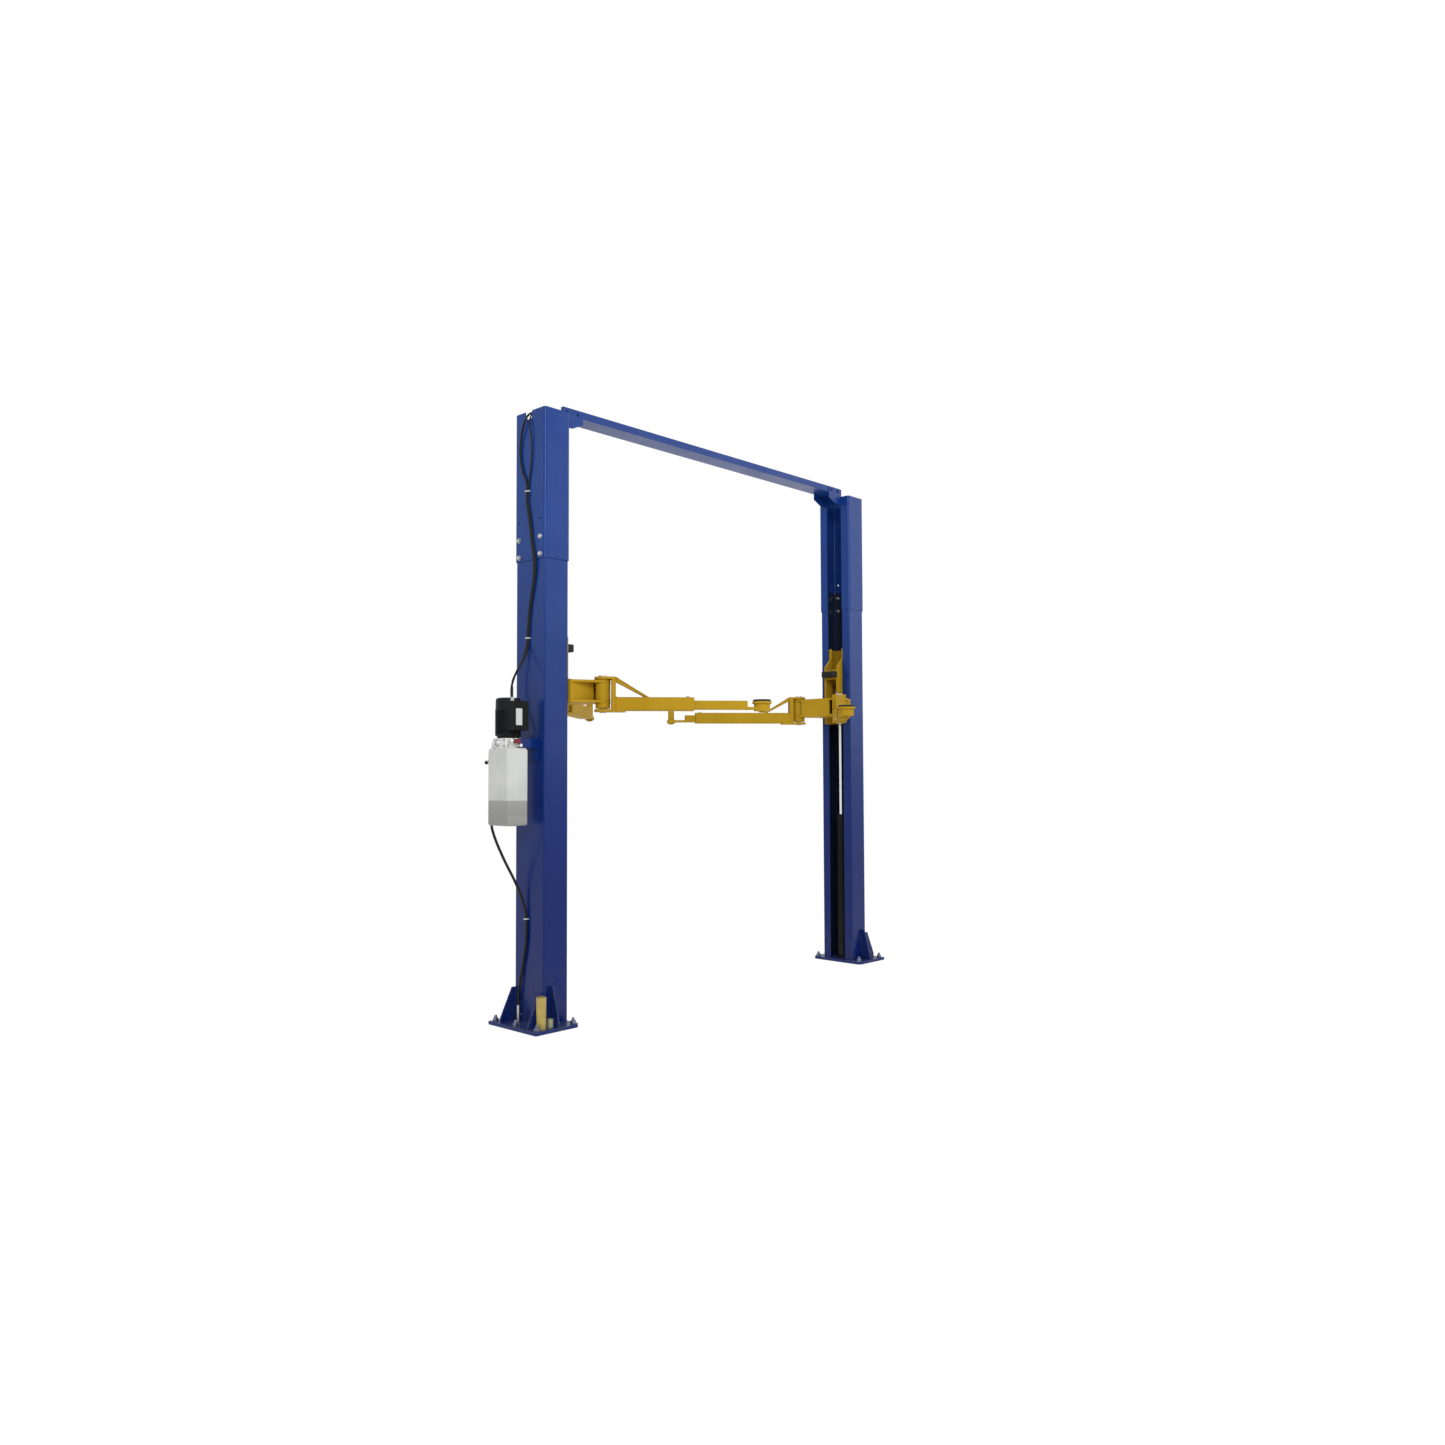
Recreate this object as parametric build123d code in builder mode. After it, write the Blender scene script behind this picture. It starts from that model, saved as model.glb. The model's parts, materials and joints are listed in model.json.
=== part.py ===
from build123d import *
import math
import os

os.makedirs("parts", exist_ok=True)

# Frame: millimetres, +Z up from the floor, +X across the bay from the column with
# the power unit to the other one, +Y along the vehicle. The origin is on the floor,
# midway between the columns. Pieces of a pair are drawn at the right column, at +X,
# and mirrored for the left one.

# Overall sizes
overall_width = 3416.0
column_top = 3663.0

# Base plates
plate_depth = 325.0
plate_length = 457.0
plate_thickness = 20.0
plate_corner_cut = 22.0
anchor_edge = 30.0
anchor_hole_radius = 10.5
web_inset = 124.0

# Columns, a C section open towards the vehicle
column_depth = 178.0
column_width = 276.0
column_wall = 6.0
column_opening = 140.0
column_bend = 10.0
extension_foot = 2761.0
extension_lap = 169.0
sleeve_clearance = 0.3
hose_notch_width = 66.0
hose_notch_depth = 52.0
hose_notch_offset = 13.0
hose_notch_corner = 22.0
joint_hole_spacing = 206.0
spare_hole_rise = 237.0
joint_hole_radius = 7.0

# Base gussets
gusset_thickness = 10.0
gusset_toe = 25.0
web_gusset_height = 198.0
web_gusset_reach = 108.0
flank_gusset_height = 225.0
flank_gusset_reach = 82.0
flank_gusset_inset = 50.0

# Overhead beam and its brackets
beam_rise = 13.0
beam_width = 140.0
beam_height = 46.0
beam_wall = 4.0
seat_gap = 0.3
line_gap_width = 112.0
bracket_plate = 6.0
bracket_reach = 158.0
bracket_height = 42.0
bracket_skirt = 44.0
bracket_heel = 78.0
bracket_heel_reach = 75.0
bracket_slope_reach = 150.0

# Lift cylinder and ram
cylinder_inset = 116.0
cylinder_radius = 35.0
cylinder_bore = 28.0
cylinder_top = 1149.0
gland_height = 42.0
gland_radius = 37.0
gland_chamfer = 3.0
rod_radius = 19.0
rod_clearance = 0.05
piston_clearance = 0.1
piston_height = 32.0
piston_travel_left = 24.0

# Chain and roller on top of the ram
roller_rise = 252.0
chain_pitch_radius = 50.0
chain_thickness = 16.0
chain_width = 32.0
roller_flange = 3.0
roller_flange_rise = 10.0
roller_gap = 0.3
roller_axle_radius = 11.0
roller_axle_end = 2.0
yoke_plate = 10.0
yoke_clearance = 1.0
yoke_width = 56.0
yoke_floor = 14.0
chain_anchor_height = 40.0
chain_anchor_width = 50.0
chain_anchor_depth = 34.0
chain_anchor_gap = 3.0

# Carriage, a box of plate inside the column with two tongues through the opening
carriage_foot = 1860.0
carriage_height = 600.0
carriage_plate = 10.0
carriage_back_gap = 8.0
carriage_side_gap = 16.5
tongue_inside = 50.0
tongue_plate = 14.0
tongue_reach = 60.0
tongue_height = 450.0
slider_height = 100.0
slider_edge_gap = 10.0
slider_clearance = 0.3
slider_corner_cut = 6.0

# Carriage head: two plates that hold the arm bosses, with walls between them
head_rise = 53.0
head_height = 136.0
head_gap = 8.0
head_half_length = 150.0
head_wall = 14.0
head_slot = 14.0
pin_inset = 221.0
pin_offset = 197.5
boss_radius = 45.0
boss_gap = 6.0
boss_height = 176.0
pin_radius = 19.0
pin_clearance = 0.05
pin_tip = 6.0
pin_head_radius = 29.0
pin_head_height = 9.0
pin_head_chamfer = 2.0
chain_lug_height = 36.0

# Door bumper on the carriage
bumper_rise = 365.0
bumper_height = 47.0
bumper_depth = 53.0
bumper_width = 120.0
bumper_plate = 10.0
bumper_plate_margin = 15.0
bumper_corner = 8.0

# Swinging arms
arm_angle = 40.0
arm_drop = 40.0
arm_width = 100.0
arm_tube_height = 82.0
arm_tube_wall = 8.0
arm_tube_bend = 12.0
arm_post_start = 52.0
arm_tube_start = 78.0
arm_ear_lap = 60.0
ear_radius = 52.0
lower_ear = 16.0
upper_ear = 15.0
strap_end = 280.0
strap_width = 60.0
strap_thickness = 16.0
front_tube_end = 555.0
rear_tube_end = 820.0

# Arm extensions, which slide in the arms
extension_width = 78.0
extension_height = 54.0
extension_wall = 7.0
extension_bend = 6.0
slide_gap = 0.3
tongue_lap = 40.0
tip_thickness = 16.0
front_inner_start = 250.0
front_inner_end = 885.0
front_pad_reach = 980.0
front_socket_radius = 50.0
front_socket_height = 45.0
rear_inner_start = 280.0
rear_inner_end = 900.0
rear_pad_reach = 1010.0
rear_socket_radius = 32.0
rear_socket_height = 26.0

# Pads: low ones on the front arms, on tall adapters on the rear arms
stem_radius = 20.0
stem_drop = 8.0
stem_clearance = 0.05
adapter_radius = 23.5
rear_adapter_height = 141.0
cup_radius = 60.0
cup_floor = 8.0
cup_rim = 4.0
cup_rim_height = 6.0
pad_height = 18.0
pad_clearance = 0.3
pad_chamfer = 2.0

# Power unit on the left column
unit_stand_off = 157.0
block_foot = 1634.0
block_depth = 120.0
block_length = 123.4
block_height = 57.0
block_chamfer = 4.0
tank_depth = 145.0
tank_length = 205.0
tank_height = 449.0
tank_wall = 4.0
tank_neck = 38.0
tank_corner = 18.0
tank_shoulder = 14.0
tank_draw = 6.0
tank_foot_radius = 8.0
motor_radius = 75.0
motor_height = 237.0
motor_flange_inset = 12.0
motor_flange_height = 10.0
motor_shoulder_height = 16.0
motor_body_height = 166.0
motor_cover_inset = 3.0
motor_dome = 14.0
motor_fins = 40
motor_fin_depth = 7.0
motor_fin_thickness = 3.6
motor_fin_lap = 2.0
cowl_slots = 24
cowl_slot_width = 4.0
cowl_slot_length = 26.0
cowl_slot_reach = 35.0
cowl_slot_depth = 8.0
unit_bracket_plate = 8.0
unit_bracket_height = 150.0
unit_bracket_width = 170.0
unit_bracket_overlap = 30.0
unit_bracket_rise = 20.0
switch_box_rise = 44.0
switch_box_height = 170.0
switch_box_length = 100.0
switch_box_face = 132.0
switch_box_back = 55.0
switch_box_corner = 6.0
cable_gland_inset = (19.0, 48.0)
cable_gland_radius = 8.0
cable_gland_height = 22.0

# Ports, valve and cap on the valve block
valve_radius = 22.0
valve_reach = 14.0
valve_knob_radius = 12.0
valve_knob_reach = 9.0
valve_offset = 30.0
spout_radius = 18.0
spout_reach = 12.0
cap_radius = 14.0
cap_reach = 36.0
plug_radius = 10.0
plug_reach = 42.0
plug_drop = 42.0
plug_offset = 18.0

# Lowering lever
lever_pivot_reach = 30.3
lever_pivot_rise = 16.0
lever_knob_reach = 122.0
lever_knob_drop = 98.0
lever_rod_radius = 4.0
lever_knob_radius = 12.0
lever_hub_radius = 9.0
lever_hub_width = 15.4
lever_ear = 5.0
lever_pin_radius = 4.0

# Height adapters kept on the left base plate, from the plate's outer edge
adapter_row = -170.0
tall_adapter_inset = 83.0
tall_adapter_radius = 29.0
tall_adapter_height = 181.0
short_adapter_inset = 148.0
short_adapter_radius = 19.0
short_adapter_height = 47.0
adapter_wall = 5.0

# Hydraulic lines, the control cable and what holds them
hose_radius = 6.5
lower_hose_radius = 8.0
cable_radius = 4.5
steel_line_radius = 4.0
union_radius = 9.0
union_length = 30.0
union_inset = 101.4
line_offset = 16.0
base_fitting_radius = 11.0
base_fitting_height = 98.0
base_fitting_offset = 80.0
base_fitting_reach = 16.0
base_elbow_radius = 8.0
base_elbow_rise = 40.0
port_radius = 9.0
clip_height = 8.0
clip_wall = 3.0
clip_clearance = 0.4
cable_box_length = 58.0
cable_box_width = 40.0
cable_box_height = 30.0

# Places that follow from the sizes above
plate_edge = overall_width / 2
web_x = plate_edge - web_inset
face_x = web_x - column_depth
sleeve_step = sleeve_clearance + column_wall
sleeve_face_x = face_x - sleeve_step
lower_column_top = extension_foot + extension_lap
beam_underside = column_top + beam_rise
bracket_top = beam_underside + bracket_height
cylinder_x = web_x - cylinder_inset
lift_strand_x = cylinder_x - chain_pitch_radius
fixed_strand_x = cylinder_x + chain_pitch_radius
carriage_top = carriage_foot + carriage_height
carriage_back = web_x - column_wall - carriage_back_gap
carriage_front = face_x + column_wall + carriage_back_gap
carriage_half = column_width / 2 - column_wall - carriage_side_gap
roller_level = carriage_foot + roller_rise
tongue_tip = face_x - tongue_reach
tongue_top = carriage_foot + tongue_height
head_foot = carriage_foot + head_rise
head_top = head_foot + head_height
head_back = face_x - head_gap
pin_x = face_x - pin_inset
head_wall_end = pin_x + boss_radius - head_slot
arm_floor = head_foot - arm_drop
boss_foot = arm_floor + boss_gap
boss_top = boss_foot + boss_height
bumper_foot = carriage_foot + bumper_rise
arm_tube_foot = arm_floor - arm_tube_wall
arm_tube_top = arm_tube_foot + arm_tube_height
upper_ear_foot = boss_top + seat_gap
upper_ear_top = upper_ear_foot + upper_ear
unit_x = -(web_x + unit_stand_off)
block_top = block_foot + block_height
lever_pivot_y = block_length / 2 + lever_pivot_reach
lever_pivot_z = block_foot + lever_pivot_rise
line_level = beam_underside + beam_wall + seat_gap + union_radius


def write(shape, name):
    """Label a finished piece and write it to its own file."""
    shape.label = name
    export_step(shape, f"parts/{name}.step")


def write_pair(shape, name):
    """Write a piece of the right column and its mirror image on the left one."""
    write(shape, f"right_{name}")
    write(mirror(shape, about=Plane.YZ), f"left_{name}")


def write_arm_pair(shape, end, name):
    """Write a piece drawn on the right rear arm for both arms of one end."""
    if end == "front":
        shape = mirror(shape, about=Plane.XZ)
    write_pair(shape, f"{end}_{name}")


def arm_level(height):
    """Plane along the right rear arm, with its origin on the arm's pivot."""
    turn = math.radians(180 - arm_angle)
    return Plane(origin=(pin_x, pin_offset, height), x_dir=(math.cos(turn), math.sin(turn), 0), z_dir=(0, 0, 1))


def arm_section(height, reach):
    """Plane across the arm at a reach from its pivot, with its normal along the arm."""
    level = arm_level(height)
    return Plane(origin=level.from_local_coords((reach, 0, 0)), x_dir=level.y_dir, z_dir=level.x_dir)


def channel(outer_x, inner_x, width, bend):
    """C section with its web at outer_x and its opening at inner_x."""
    depth = outer_x - inner_x
    with Locations(((outer_x + inner_x) / 2, 0)):
        RectangleRounded(depth, width, bend)
        RectangleRounded(depth - 2 * column_wall, width - 2 * column_wall, bend - column_wall, mode=Mode.SUBTRACT)
    with Locations((inner_x + column_wall / 2, 0)):
        Rectangle(2 * column_wall, column_opening, mode=Mode.SUBTRACT)


def from_web(side, points):
    """Points of a line on one side, from their reach past the column's web."""
    return [(side * (web_x + reach), offset, level) for reach, offset, level in points]


def bend_radii(route):
    """Arc at each corner of a line's route, as large as its two runs allow."""
    radii = []
    for before, corner, after in zip(route, route[1:], route[2:]):
        first = Vector(*corner) - Vector(*before)
        second = Vector(*after) - Vector(*corner)
        turn = math.radians(first.get_angle(second))
        radii.append(0.45 * min(first.length, second.length) / math.tan(turn / 2))
    return radii


def line_tube(route, radius):
    """Tube along a route of straight runs with an arc at each corner."""
    radii = bend_radii(route)
    print(f"line of {len(route)} points, tightest bend {min(radii):.0f} mm")
    with BuildLine() as path:
        FilletPolyline(*route, radius=radii)
    with BuildSketch(Plane(origin=route[0], z_dir=Vector(*route[1]) - Vector(*route[0]))) as section:
        Circle(radius)
    sweep(sections=section.sketch, path=path.wire())


# Base plate with its five anchor holes
with BuildPart() as base_plate:
    with BuildSketch(Plane.XY):
        with Locations((plate_edge - plate_depth / 2, 0)):
            Rectangle(plate_depth, plate_length)
        chamfer(vertices().group_by(Axis.X)[0], plate_corner_cut)
    extrude(amount=plate_thickness)
    with BuildSketch(Plane.XY):
        with Locations((plate_edge - plate_depth / 2, 0)):
            with GridLocations(plate_depth - 2 * anchor_edge, plate_length - 2 * anchor_edge, 2, 2):
                Circle(anchor_hole_radius)
        with Locations((plate_edge - anchor_edge, 0)):
            Circle(anchor_hole_radius)
    extrude(amount=plate_thickness, mode=Mode.SUBTRACT)
write_pair(base_plate.part, "base_plate")

# Gussets: two behind the web, flush with the flanks, and one on each flank
with BuildPart() as base_gussets:
    for side in (-1, 1):
        web_gusset_y = side * (column_width / 2 - gusset_thickness / 2)
        with BuildSketch(Plane.XZ.offset(-web_gusset_y)):
            with BuildLine():
                Polyline(
                    (web_x, plate_thickness),
                    (web_x + web_gusset_reach, plate_thickness),
                    (web_x + web_gusset_reach, plate_thickness + gusset_toe),
                    (web_x + gusset_toe, plate_thickness + web_gusset_height),
                    (web_x, plate_thickness + web_gusset_height),
                    close=True,
                )
            make_face()
        extrude(amount=gusset_thickness / 2, both=True)
        flank_y = side * column_width / 2
        flank_toe_y = flank_y + side * flank_gusset_reach
        with BuildSketch(Plane.YZ.offset(web_x - flank_gusset_inset)):
            with BuildLine():
                Polyline(
                    (flank_y, plate_thickness),
                    (flank_toe_y, plate_thickness),
                    (flank_toe_y, plate_thickness + gusset_toe),
                    (flank_y + side * gusset_toe, plate_thickness + flank_gusset_height),
                    (flank_y, plate_thickness + flank_gusset_height),
                    close=True,
                )
            make_face()
        extrude(amount=gusset_thickness / 2, both=True)
    mirror(about=Plane.YZ)
write(base_gussets.part, "base_gussets")

# Lower column, bolted inside the extension at its top
with BuildPart() as column:
    with BuildSketch(Plane.XY.offset(plate_thickness)):
        channel(web_x, face_x, column_width, column_bend)
    extrude(amount=lower_column_top - plate_thickness)
write_pair(column.part, "column")

# Column extension, a sleeve over the lower column, with a notch for the lines in its web
with BuildPart() as column_extension:
    with BuildSketch(Plane.XY.offset(extension_foot)):
        sleeve_width = column_width + 2 * sleeve_step
        channel(web_x + sleeve_step, sleeve_face_x, sleeve_width, column_bend + sleeve_step)
    extrude(amount=column_top - extension_foot)
    with BuildSketch(Plane.YZ.offset(web_x)):
        with Locations((hose_notch_offset, column_top)):
            Rectangle(hose_notch_width, 2 * hose_notch_depth)
        fillet(vertices(), hose_notch_corner)
    extrude(amount=2 * sleeve_step, mode=Mode.SUBTRACT)
    with BuildSketch(Plane.YZ.offset(web_x)):
        with Locations((0, extension_foot + spare_hole_rise)):
            with GridLocations(joint_hole_spacing, 1, 2, 1):
                Circle(joint_hole_radius)
    extrude(amount=2 * sleeve_step, mode=Mode.SUBTRACT)
write_pair(column_extension.part, "column_extension")

# Beam brackets: two cheeks, a floor and a flange with a gap for the lines
with BuildPart() as beam_brackets:
    bracket_half = beam_width / 2 + seat_gap + bracket_plate
    bracket_floor = beam_underside - seat_gap - bracket_plate
    bracket_foot = beam_underside - bracket_heel
    cheek_foot = beam_underside - bracket_skirt
    bracket_end = sleeve_face_x - bracket_reach
    with BuildSketch(Plane.XZ.offset(-bracket_half)):
        with BuildLine():
            Polyline(
                (sleeve_face_x, bracket_foot),
                (sleeve_face_x, bracket_top),
                (bracket_end, bracket_top),
                (bracket_end, cheek_foot),
                (sleeve_face_x - bracket_slope_reach, cheek_foot),
                (sleeve_face_x - bracket_heel_reach, bracket_foot),
                close=True,
            )
        make_face()
    extrude(amount=2 * bracket_half)
    with BuildSketch(Plane.YZ.offset(bracket_end)):
        with Locations((0, beam_underside - seat_gap)):
            Rectangle(beam_width + 2 * seat_gap, 2 * bracket_height, align=(Align.CENTER, Align.MIN))
    extrude(amount=bracket_reach - bracket_plate, mode=Mode.SUBTRACT)
    with BuildSketch(Plane.YZ.offset(bracket_end)):
        with Locations((0, beam_underside + beam_wall)):
            Rectangle(line_gap_width, 2 * bracket_height, align=(Align.CENTER, Align.MIN))
    extrude(amount=bracket_reach, mode=Mode.SUBTRACT)
    with BuildSketch(Plane.YZ.offset(bracket_end)):
        with Locations((0, bracket_floor)):
            Rectangle(beam_width, bracket_heel, align=(Align.CENTER, Align.MAX))
    extrude(amount=bracket_reach - bracket_plate, mode=Mode.SUBTRACT)
    mirror(about=Plane.YZ)
write(beam_brackets.part, "beam_brackets")

# Overhead beam, a channel open upwards that carries the lines
with BuildPart() as overhead_beam:
    beam_half = sleeve_face_x - bracket_plate - seat_gap
    with BuildSketch(Plane.YZ.offset(-beam_half)):
        with Locations((0, beam_underside)):
            Rectangle(beam_width, beam_height, align=(Align.CENTER, Align.MIN))
        with Locations((0, beam_underside + beam_wall)):
            Rectangle(beam_width - 2 * beam_wall, beam_height, align=(Align.CENTER, Align.MIN), mode=Mode.SUBTRACT)
    extrude(amount=2 * beam_half)
write(overhead_beam.part, "overhead_beam")

# Lift cylinder, with a gland at its top
with BuildPart() as cylinder:
    with BuildSketch(Plane.XY.offset(plate_thickness)):
        with Locations((cylinder_x, 0)):
            Circle(cylinder_radius)
    extrude(amount=cylinder_top - gland_height - plate_thickness)
    with BuildSketch(Plane.XY.offset(cylinder_top - gland_height)):
        with Locations((cylinder_x, 0)):
            Circle(gland_radius)
    extrude(amount=gland_height)
    chamfer(faces().sort_by(Axis.Z)[-1].edges(), gland_chamfer)
    with BuildSketch(Plane.XY.offset(2 * plate_thickness)):
        with Locations((cylinder_x, 0)):
            Circle(cylinder_bore)
    extrude(amount=cylinder_top - gland_height - 2 * plate_thickness, mode=Mode.SUBTRACT)
    with BuildSketch(Plane.XY.offset(cylinder_top - gland_height)):
        with Locations((cylinder_x, 0)):
            Circle(rod_radius + rod_clearance)
    extrude(amount=gland_height, mode=Mode.SUBTRACT)
write_pair(cylinder.part, "cylinder")

# Anchor blocks of the chains' fixed ends, behind the cylinders' feet
with BuildPart() as chain_anchors:
    with BuildSketch(Plane.XY.offset(plate_thickness)):
        with Locations((cylinder_x + gland_radius + chain_anchor_gap, 0)):
            Rectangle(chain_anchor_depth, chain_anchor_width, align=(Align.MIN, Align.CENTER))
    extrude(amount=chain_anchor_height)
    chamfer(edges().filter_by(Axis.Z), chain_anchor_gap)
    mirror(about=Plane.YZ)
write(chain_anchors.part, "chain_anchors")

# Ram: piston, rod and the yoke that holds the roller
roller_width = chain_width + 2 * roller_gap + 2 * roller_flange
yoke_inside = roller_width / 2 + yoke_clearance
yoke_foot = roller_level - chain_pitch_radius - 2 * chain_thickness
piston_foot = cylinder_top - gland_height - piston_travel_left - piston_height
with BuildPart() as ram:
    with BuildSketch(Plane.XY.offset(piston_foot)):
        with Locations((cylinder_x, 0)):
            Circle(cylinder_bore - piston_clearance)
    extrude(amount=piston_height)
    with BuildSketch(Plane.XY.offset(piston_foot)):
        with Locations((cylinder_x, 0)):
            Circle(rod_radius)
    extrude(amount=yoke_foot - piston_foot)
    with BuildSketch(Plane.XY.offset(yoke_foot)):
        with Locations((cylinder_x, 0)):
            Rectangle(yoke_width, 2 * (yoke_inside + yoke_plate))
    extrude(amount=yoke_floor)
    for side in (-1, 1):
        cheek_y = side * (yoke_inside + yoke_plate / 2)
        with BuildSketch(Plane.XZ.offset(-cheek_y)):
            with Locations((cylinder_x, roller_level)):
                Circle(yoke_width / 2)
            with Locations((cylinder_x, (yoke_foot + roller_level) / 2)):
                Rectangle(yoke_width, roller_level - yoke_foot)
            with Locations((cylinder_x, roller_level)):
                Circle(roller_axle_radius + rod_clearance, mode=Mode.SUBTRACT)
        extrude(amount=yoke_plate / 2, both=True)
write_pair(ram.part, "ram")

# Roller with two flanges, on its axle
with BuildPart() as chain_roller:
    groove_radius = chain_pitch_radius - chain_thickness / 2 - roller_gap
    with BuildSketch(Plane.XZ):
        with Locations((cylinder_x, roller_level)):
            Circle(groove_radius)
    extrude(amount=roller_width / 2, both=True)
    for side in (-1, 1):
        flange_y = side * (roller_width / 2 - roller_flange / 2)
        with BuildSketch(Plane.XZ.offset(-flange_y)):
            with Locations((cylinder_x, roller_level)):
                Circle(groove_radius + roller_flange_rise)
        extrude(amount=roller_flange / 2, both=True)
    with BuildSketch(Plane.XZ):
        with Locations((cylinder_x, roller_level)):
            Circle(roller_axle_radius)
    extrude(amount=yoke_inside + yoke_plate + roller_axle_end, both=True)
write_pair(chain_roller.part, "chain_roller")

# Chain: the bend over the roller and its two straight strands
with BuildPart() as chain_bend:
    chain_outside = chain_pitch_radius + chain_thickness / 2
    with BuildSketch(Plane.XZ):
        with Locations((cylinder_x, roller_level)):
            Circle(chain_outside)
            Circle(chain_outside - chain_thickness, mode=Mode.SUBTRACT)
            Rectangle(3 * chain_outside, 2 * chain_outside, align=(Align.CENTER, Align.MAX), mode=Mode.SUBTRACT)
    extrude(amount=chain_width / 2, both=True)
write_pair(chain_bend.part, "chain_bend")

with BuildPart() as chain_fixed_strands:
    with BuildSketch(Plane.XY.offset(plate_thickness + chain_anchor_height)):
        with Locations((fixed_strand_x, 0)):
            Rectangle(chain_thickness, chain_width)
    extrude(amount=roller_level - plate_thickness - chain_anchor_height)
    mirror(about=Plane.YZ)
write(chain_fixed_strands.part, "chain_fixed_strands")

chain_lug_top = head_foot + chain_lug_height
with BuildPart() as chain_lift_strand:
    with BuildSketch(Plane.XY.offset(chain_lug_top)):
        with Locations((lift_strand_x, 0)):
            Rectangle(chain_thickness, chain_width)
    extrude(amount=roller_level - chain_lug_top)
write_pair(chain_lift_strand.part, "chain_lift_strand")

# Carriage: box inside the column, tongues, head, bosses and chain lug
with BuildPart() as carriage:
    with BuildSketch(Plane.XY.offset(carriage_foot)):
        with Locations((carriage_back - carriage_plate / 2, 0)):
            Rectangle(carriage_plate, 2 * carriage_half)
        for side in (-1, 1):
            with Locations(((carriage_front + carriage_back) / 2, side * (carriage_half - carriage_plate / 2))):
                Rectangle(carriage_back - carriage_front, carriage_plate)
            with Locations((carriage_front + carriage_plate / 2, side * (tongue_inside + carriage_half) / 2)):
                Rectangle(carriage_plate, carriage_half - tongue_inside)
            with Locations((tongue_tip, side * (tongue_inside + tongue_plate / 2))):
                Rectangle(carriage_front + carriage_plate - tongue_tip, tongue_plate, align=(Align.MIN, Align.CENTER))
    extrude(amount=carriage_height)
    with BuildSketch(Plane.XZ):
        with BuildLine():
            Polyline(
                (tongue_tip, tongue_top),
                (carriage_front, tongue_top + carriage_front - tongue_tip),
                (carriage_front, carriage_top),
                (tongue_tip, carriage_top),
                close=True,
            )
        make_face()
    extrude(amount=tongue_inside + tongue_plate, both=True, mode=Mode.SUBTRACT)
    for plate_foot in (head_foot, head_top - head_wall):
        with BuildSketch(Plane.XY.offset(plate_foot)):
            with Locations((head_back, 0)):
                Rectangle(head_back - pin_x, 2 * head_half_length, align=(Align.MAX, Align.CENTER))
            with Locations((pin_x, -pin_offset), (pin_x, pin_offset)):
                Circle(boss_radius)
            make_hull()
        extrude(amount=head_wall)
    with BuildSketch(Plane.XY.offset(head_foot)):
        with Locations((pin_x - boss_radius, 0)):
            Rectangle(head_wall, 2 * (head_half_length - head_wall), align=(Align.MIN, Align.CENTER))
        for side in (-1, 1):
            with Locations((head_back, side * (head_half_length - head_wall / 2))):
                Rectangle(head_back - head_wall_end, head_wall, align=(Align.MAX, Align.CENTER))
            with Locations((head_back, side * (head_half_length + tongue_inside) / 2)):
                Rectangle(head_wall, head_half_length - tongue_inside, align=(Align.MAX, Align.CENTER))
    extrude(amount=head_height)
    with BuildSketch(Plane.XY.offset(boss_foot)):
        with Locations((pin_x, -pin_offset), (pin_x, pin_offset)):
            Circle(boss_radius)
    extrude(amount=boss_height)
    with BuildSketch(Plane.XY.offset(boss_foot)):
        with Locations((pin_x, -pin_offset), (pin_x, pin_offset)):
            Circle(pin_radius + pin_clearance)
    extrude(amount=boss_height, mode=Mode.SUBTRACT)
    with BuildSketch(Plane.XY.offset(head_foot)):
        with Locations((head_back, 0)):
            lug_reach = lift_strand_x + chain_thickness / 2 - head_back
            Rectangle(lug_reach, 2 * tongue_inside, align=(Align.MIN, Align.CENTER))
    extrude(amount=chain_lug_height)
    with BuildSketch(Plane.YZ.offset(tongue_tip)):
        with Locations((0, bumper_foot + bumper_height / 2)):
            Rectangle(2 * (tongue_inside + tongue_plate), bumper_height + 2 * bumper_plate_margin)
    extrude(amount=bumper_plate)
write_pair(carriage.part, "carriage")

# Slider blocks on the carriage's sides, running against web, flanks and lips
with BuildPart() as slider_blocks:
    slider_front = face_x + column_wall + slider_clearance
    slider_back = web_x - column_wall - slider_clearance
    slider_side = column_width / 2 - column_wall - slider_clearance
    for side in (-1, 1):
        for foot in (carriage_foot + slider_edge_gap, carriage_top - slider_edge_gap - slider_height):
            with BuildSketch(Plane.XY.offset(foot)):
                with Locations(((slider_front + slider_back) / 2, side * (carriage_half + slider_side) / 2)):
                    Rectangle(slider_back - slider_front, slider_side - carriage_half)
                chamfer(vertices().group_by(Axis.Y)[-1 if side > 0 else 0], slider_corner_cut)
            extrude(amount=slider_height)
write_pair(slider_blocks.part, "slider_blocks")

# Rubber door bumper
with BuildPart() as door_bumper:
    with BuildSketch(Plane.YZ.offset(tongue_tip)):
        with Locations((0, bumper_foot + bumper_height / 2)):
            RectangleRounded(bumper_width, bumper_height, bumper_corner)
    extrude(amount=-bumper_depth)
    fillet(faces().sort_by(Axis.X)[0].edges(), bumper_corner / 2)
write_pair(door_bumper.part, "door_bumper")

# Arm pins, each with a head on the arm's upper ear
with BuildPart() as arm_pins:
    pin_foot = arm_floor - lower_ear - pin_tip
    with BuildSketch(Plane.XY.offset(pin_foot)):
        with Locations((pin_x, -pin_offset), (pin_x, pin_offset)):
            Circle(pin_radius)
    extrude(amount=upper_ear_top + seat_gap - pin_foot)
    with BuildSketch(Plane.XY.offset(upper_ear_top + seat_gap)):
        with Locations((pin_x, -pin_offset), (pin_x, pin_offset)):
            Circle(pin_head_radius)
    extrude(amount=pin_head_height)
    chamfer(faces().group_by(Axis.Z)[-1].edges(), pin_head_chamfer)
write_pair(arm_pins.part, "arm_pins")

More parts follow.
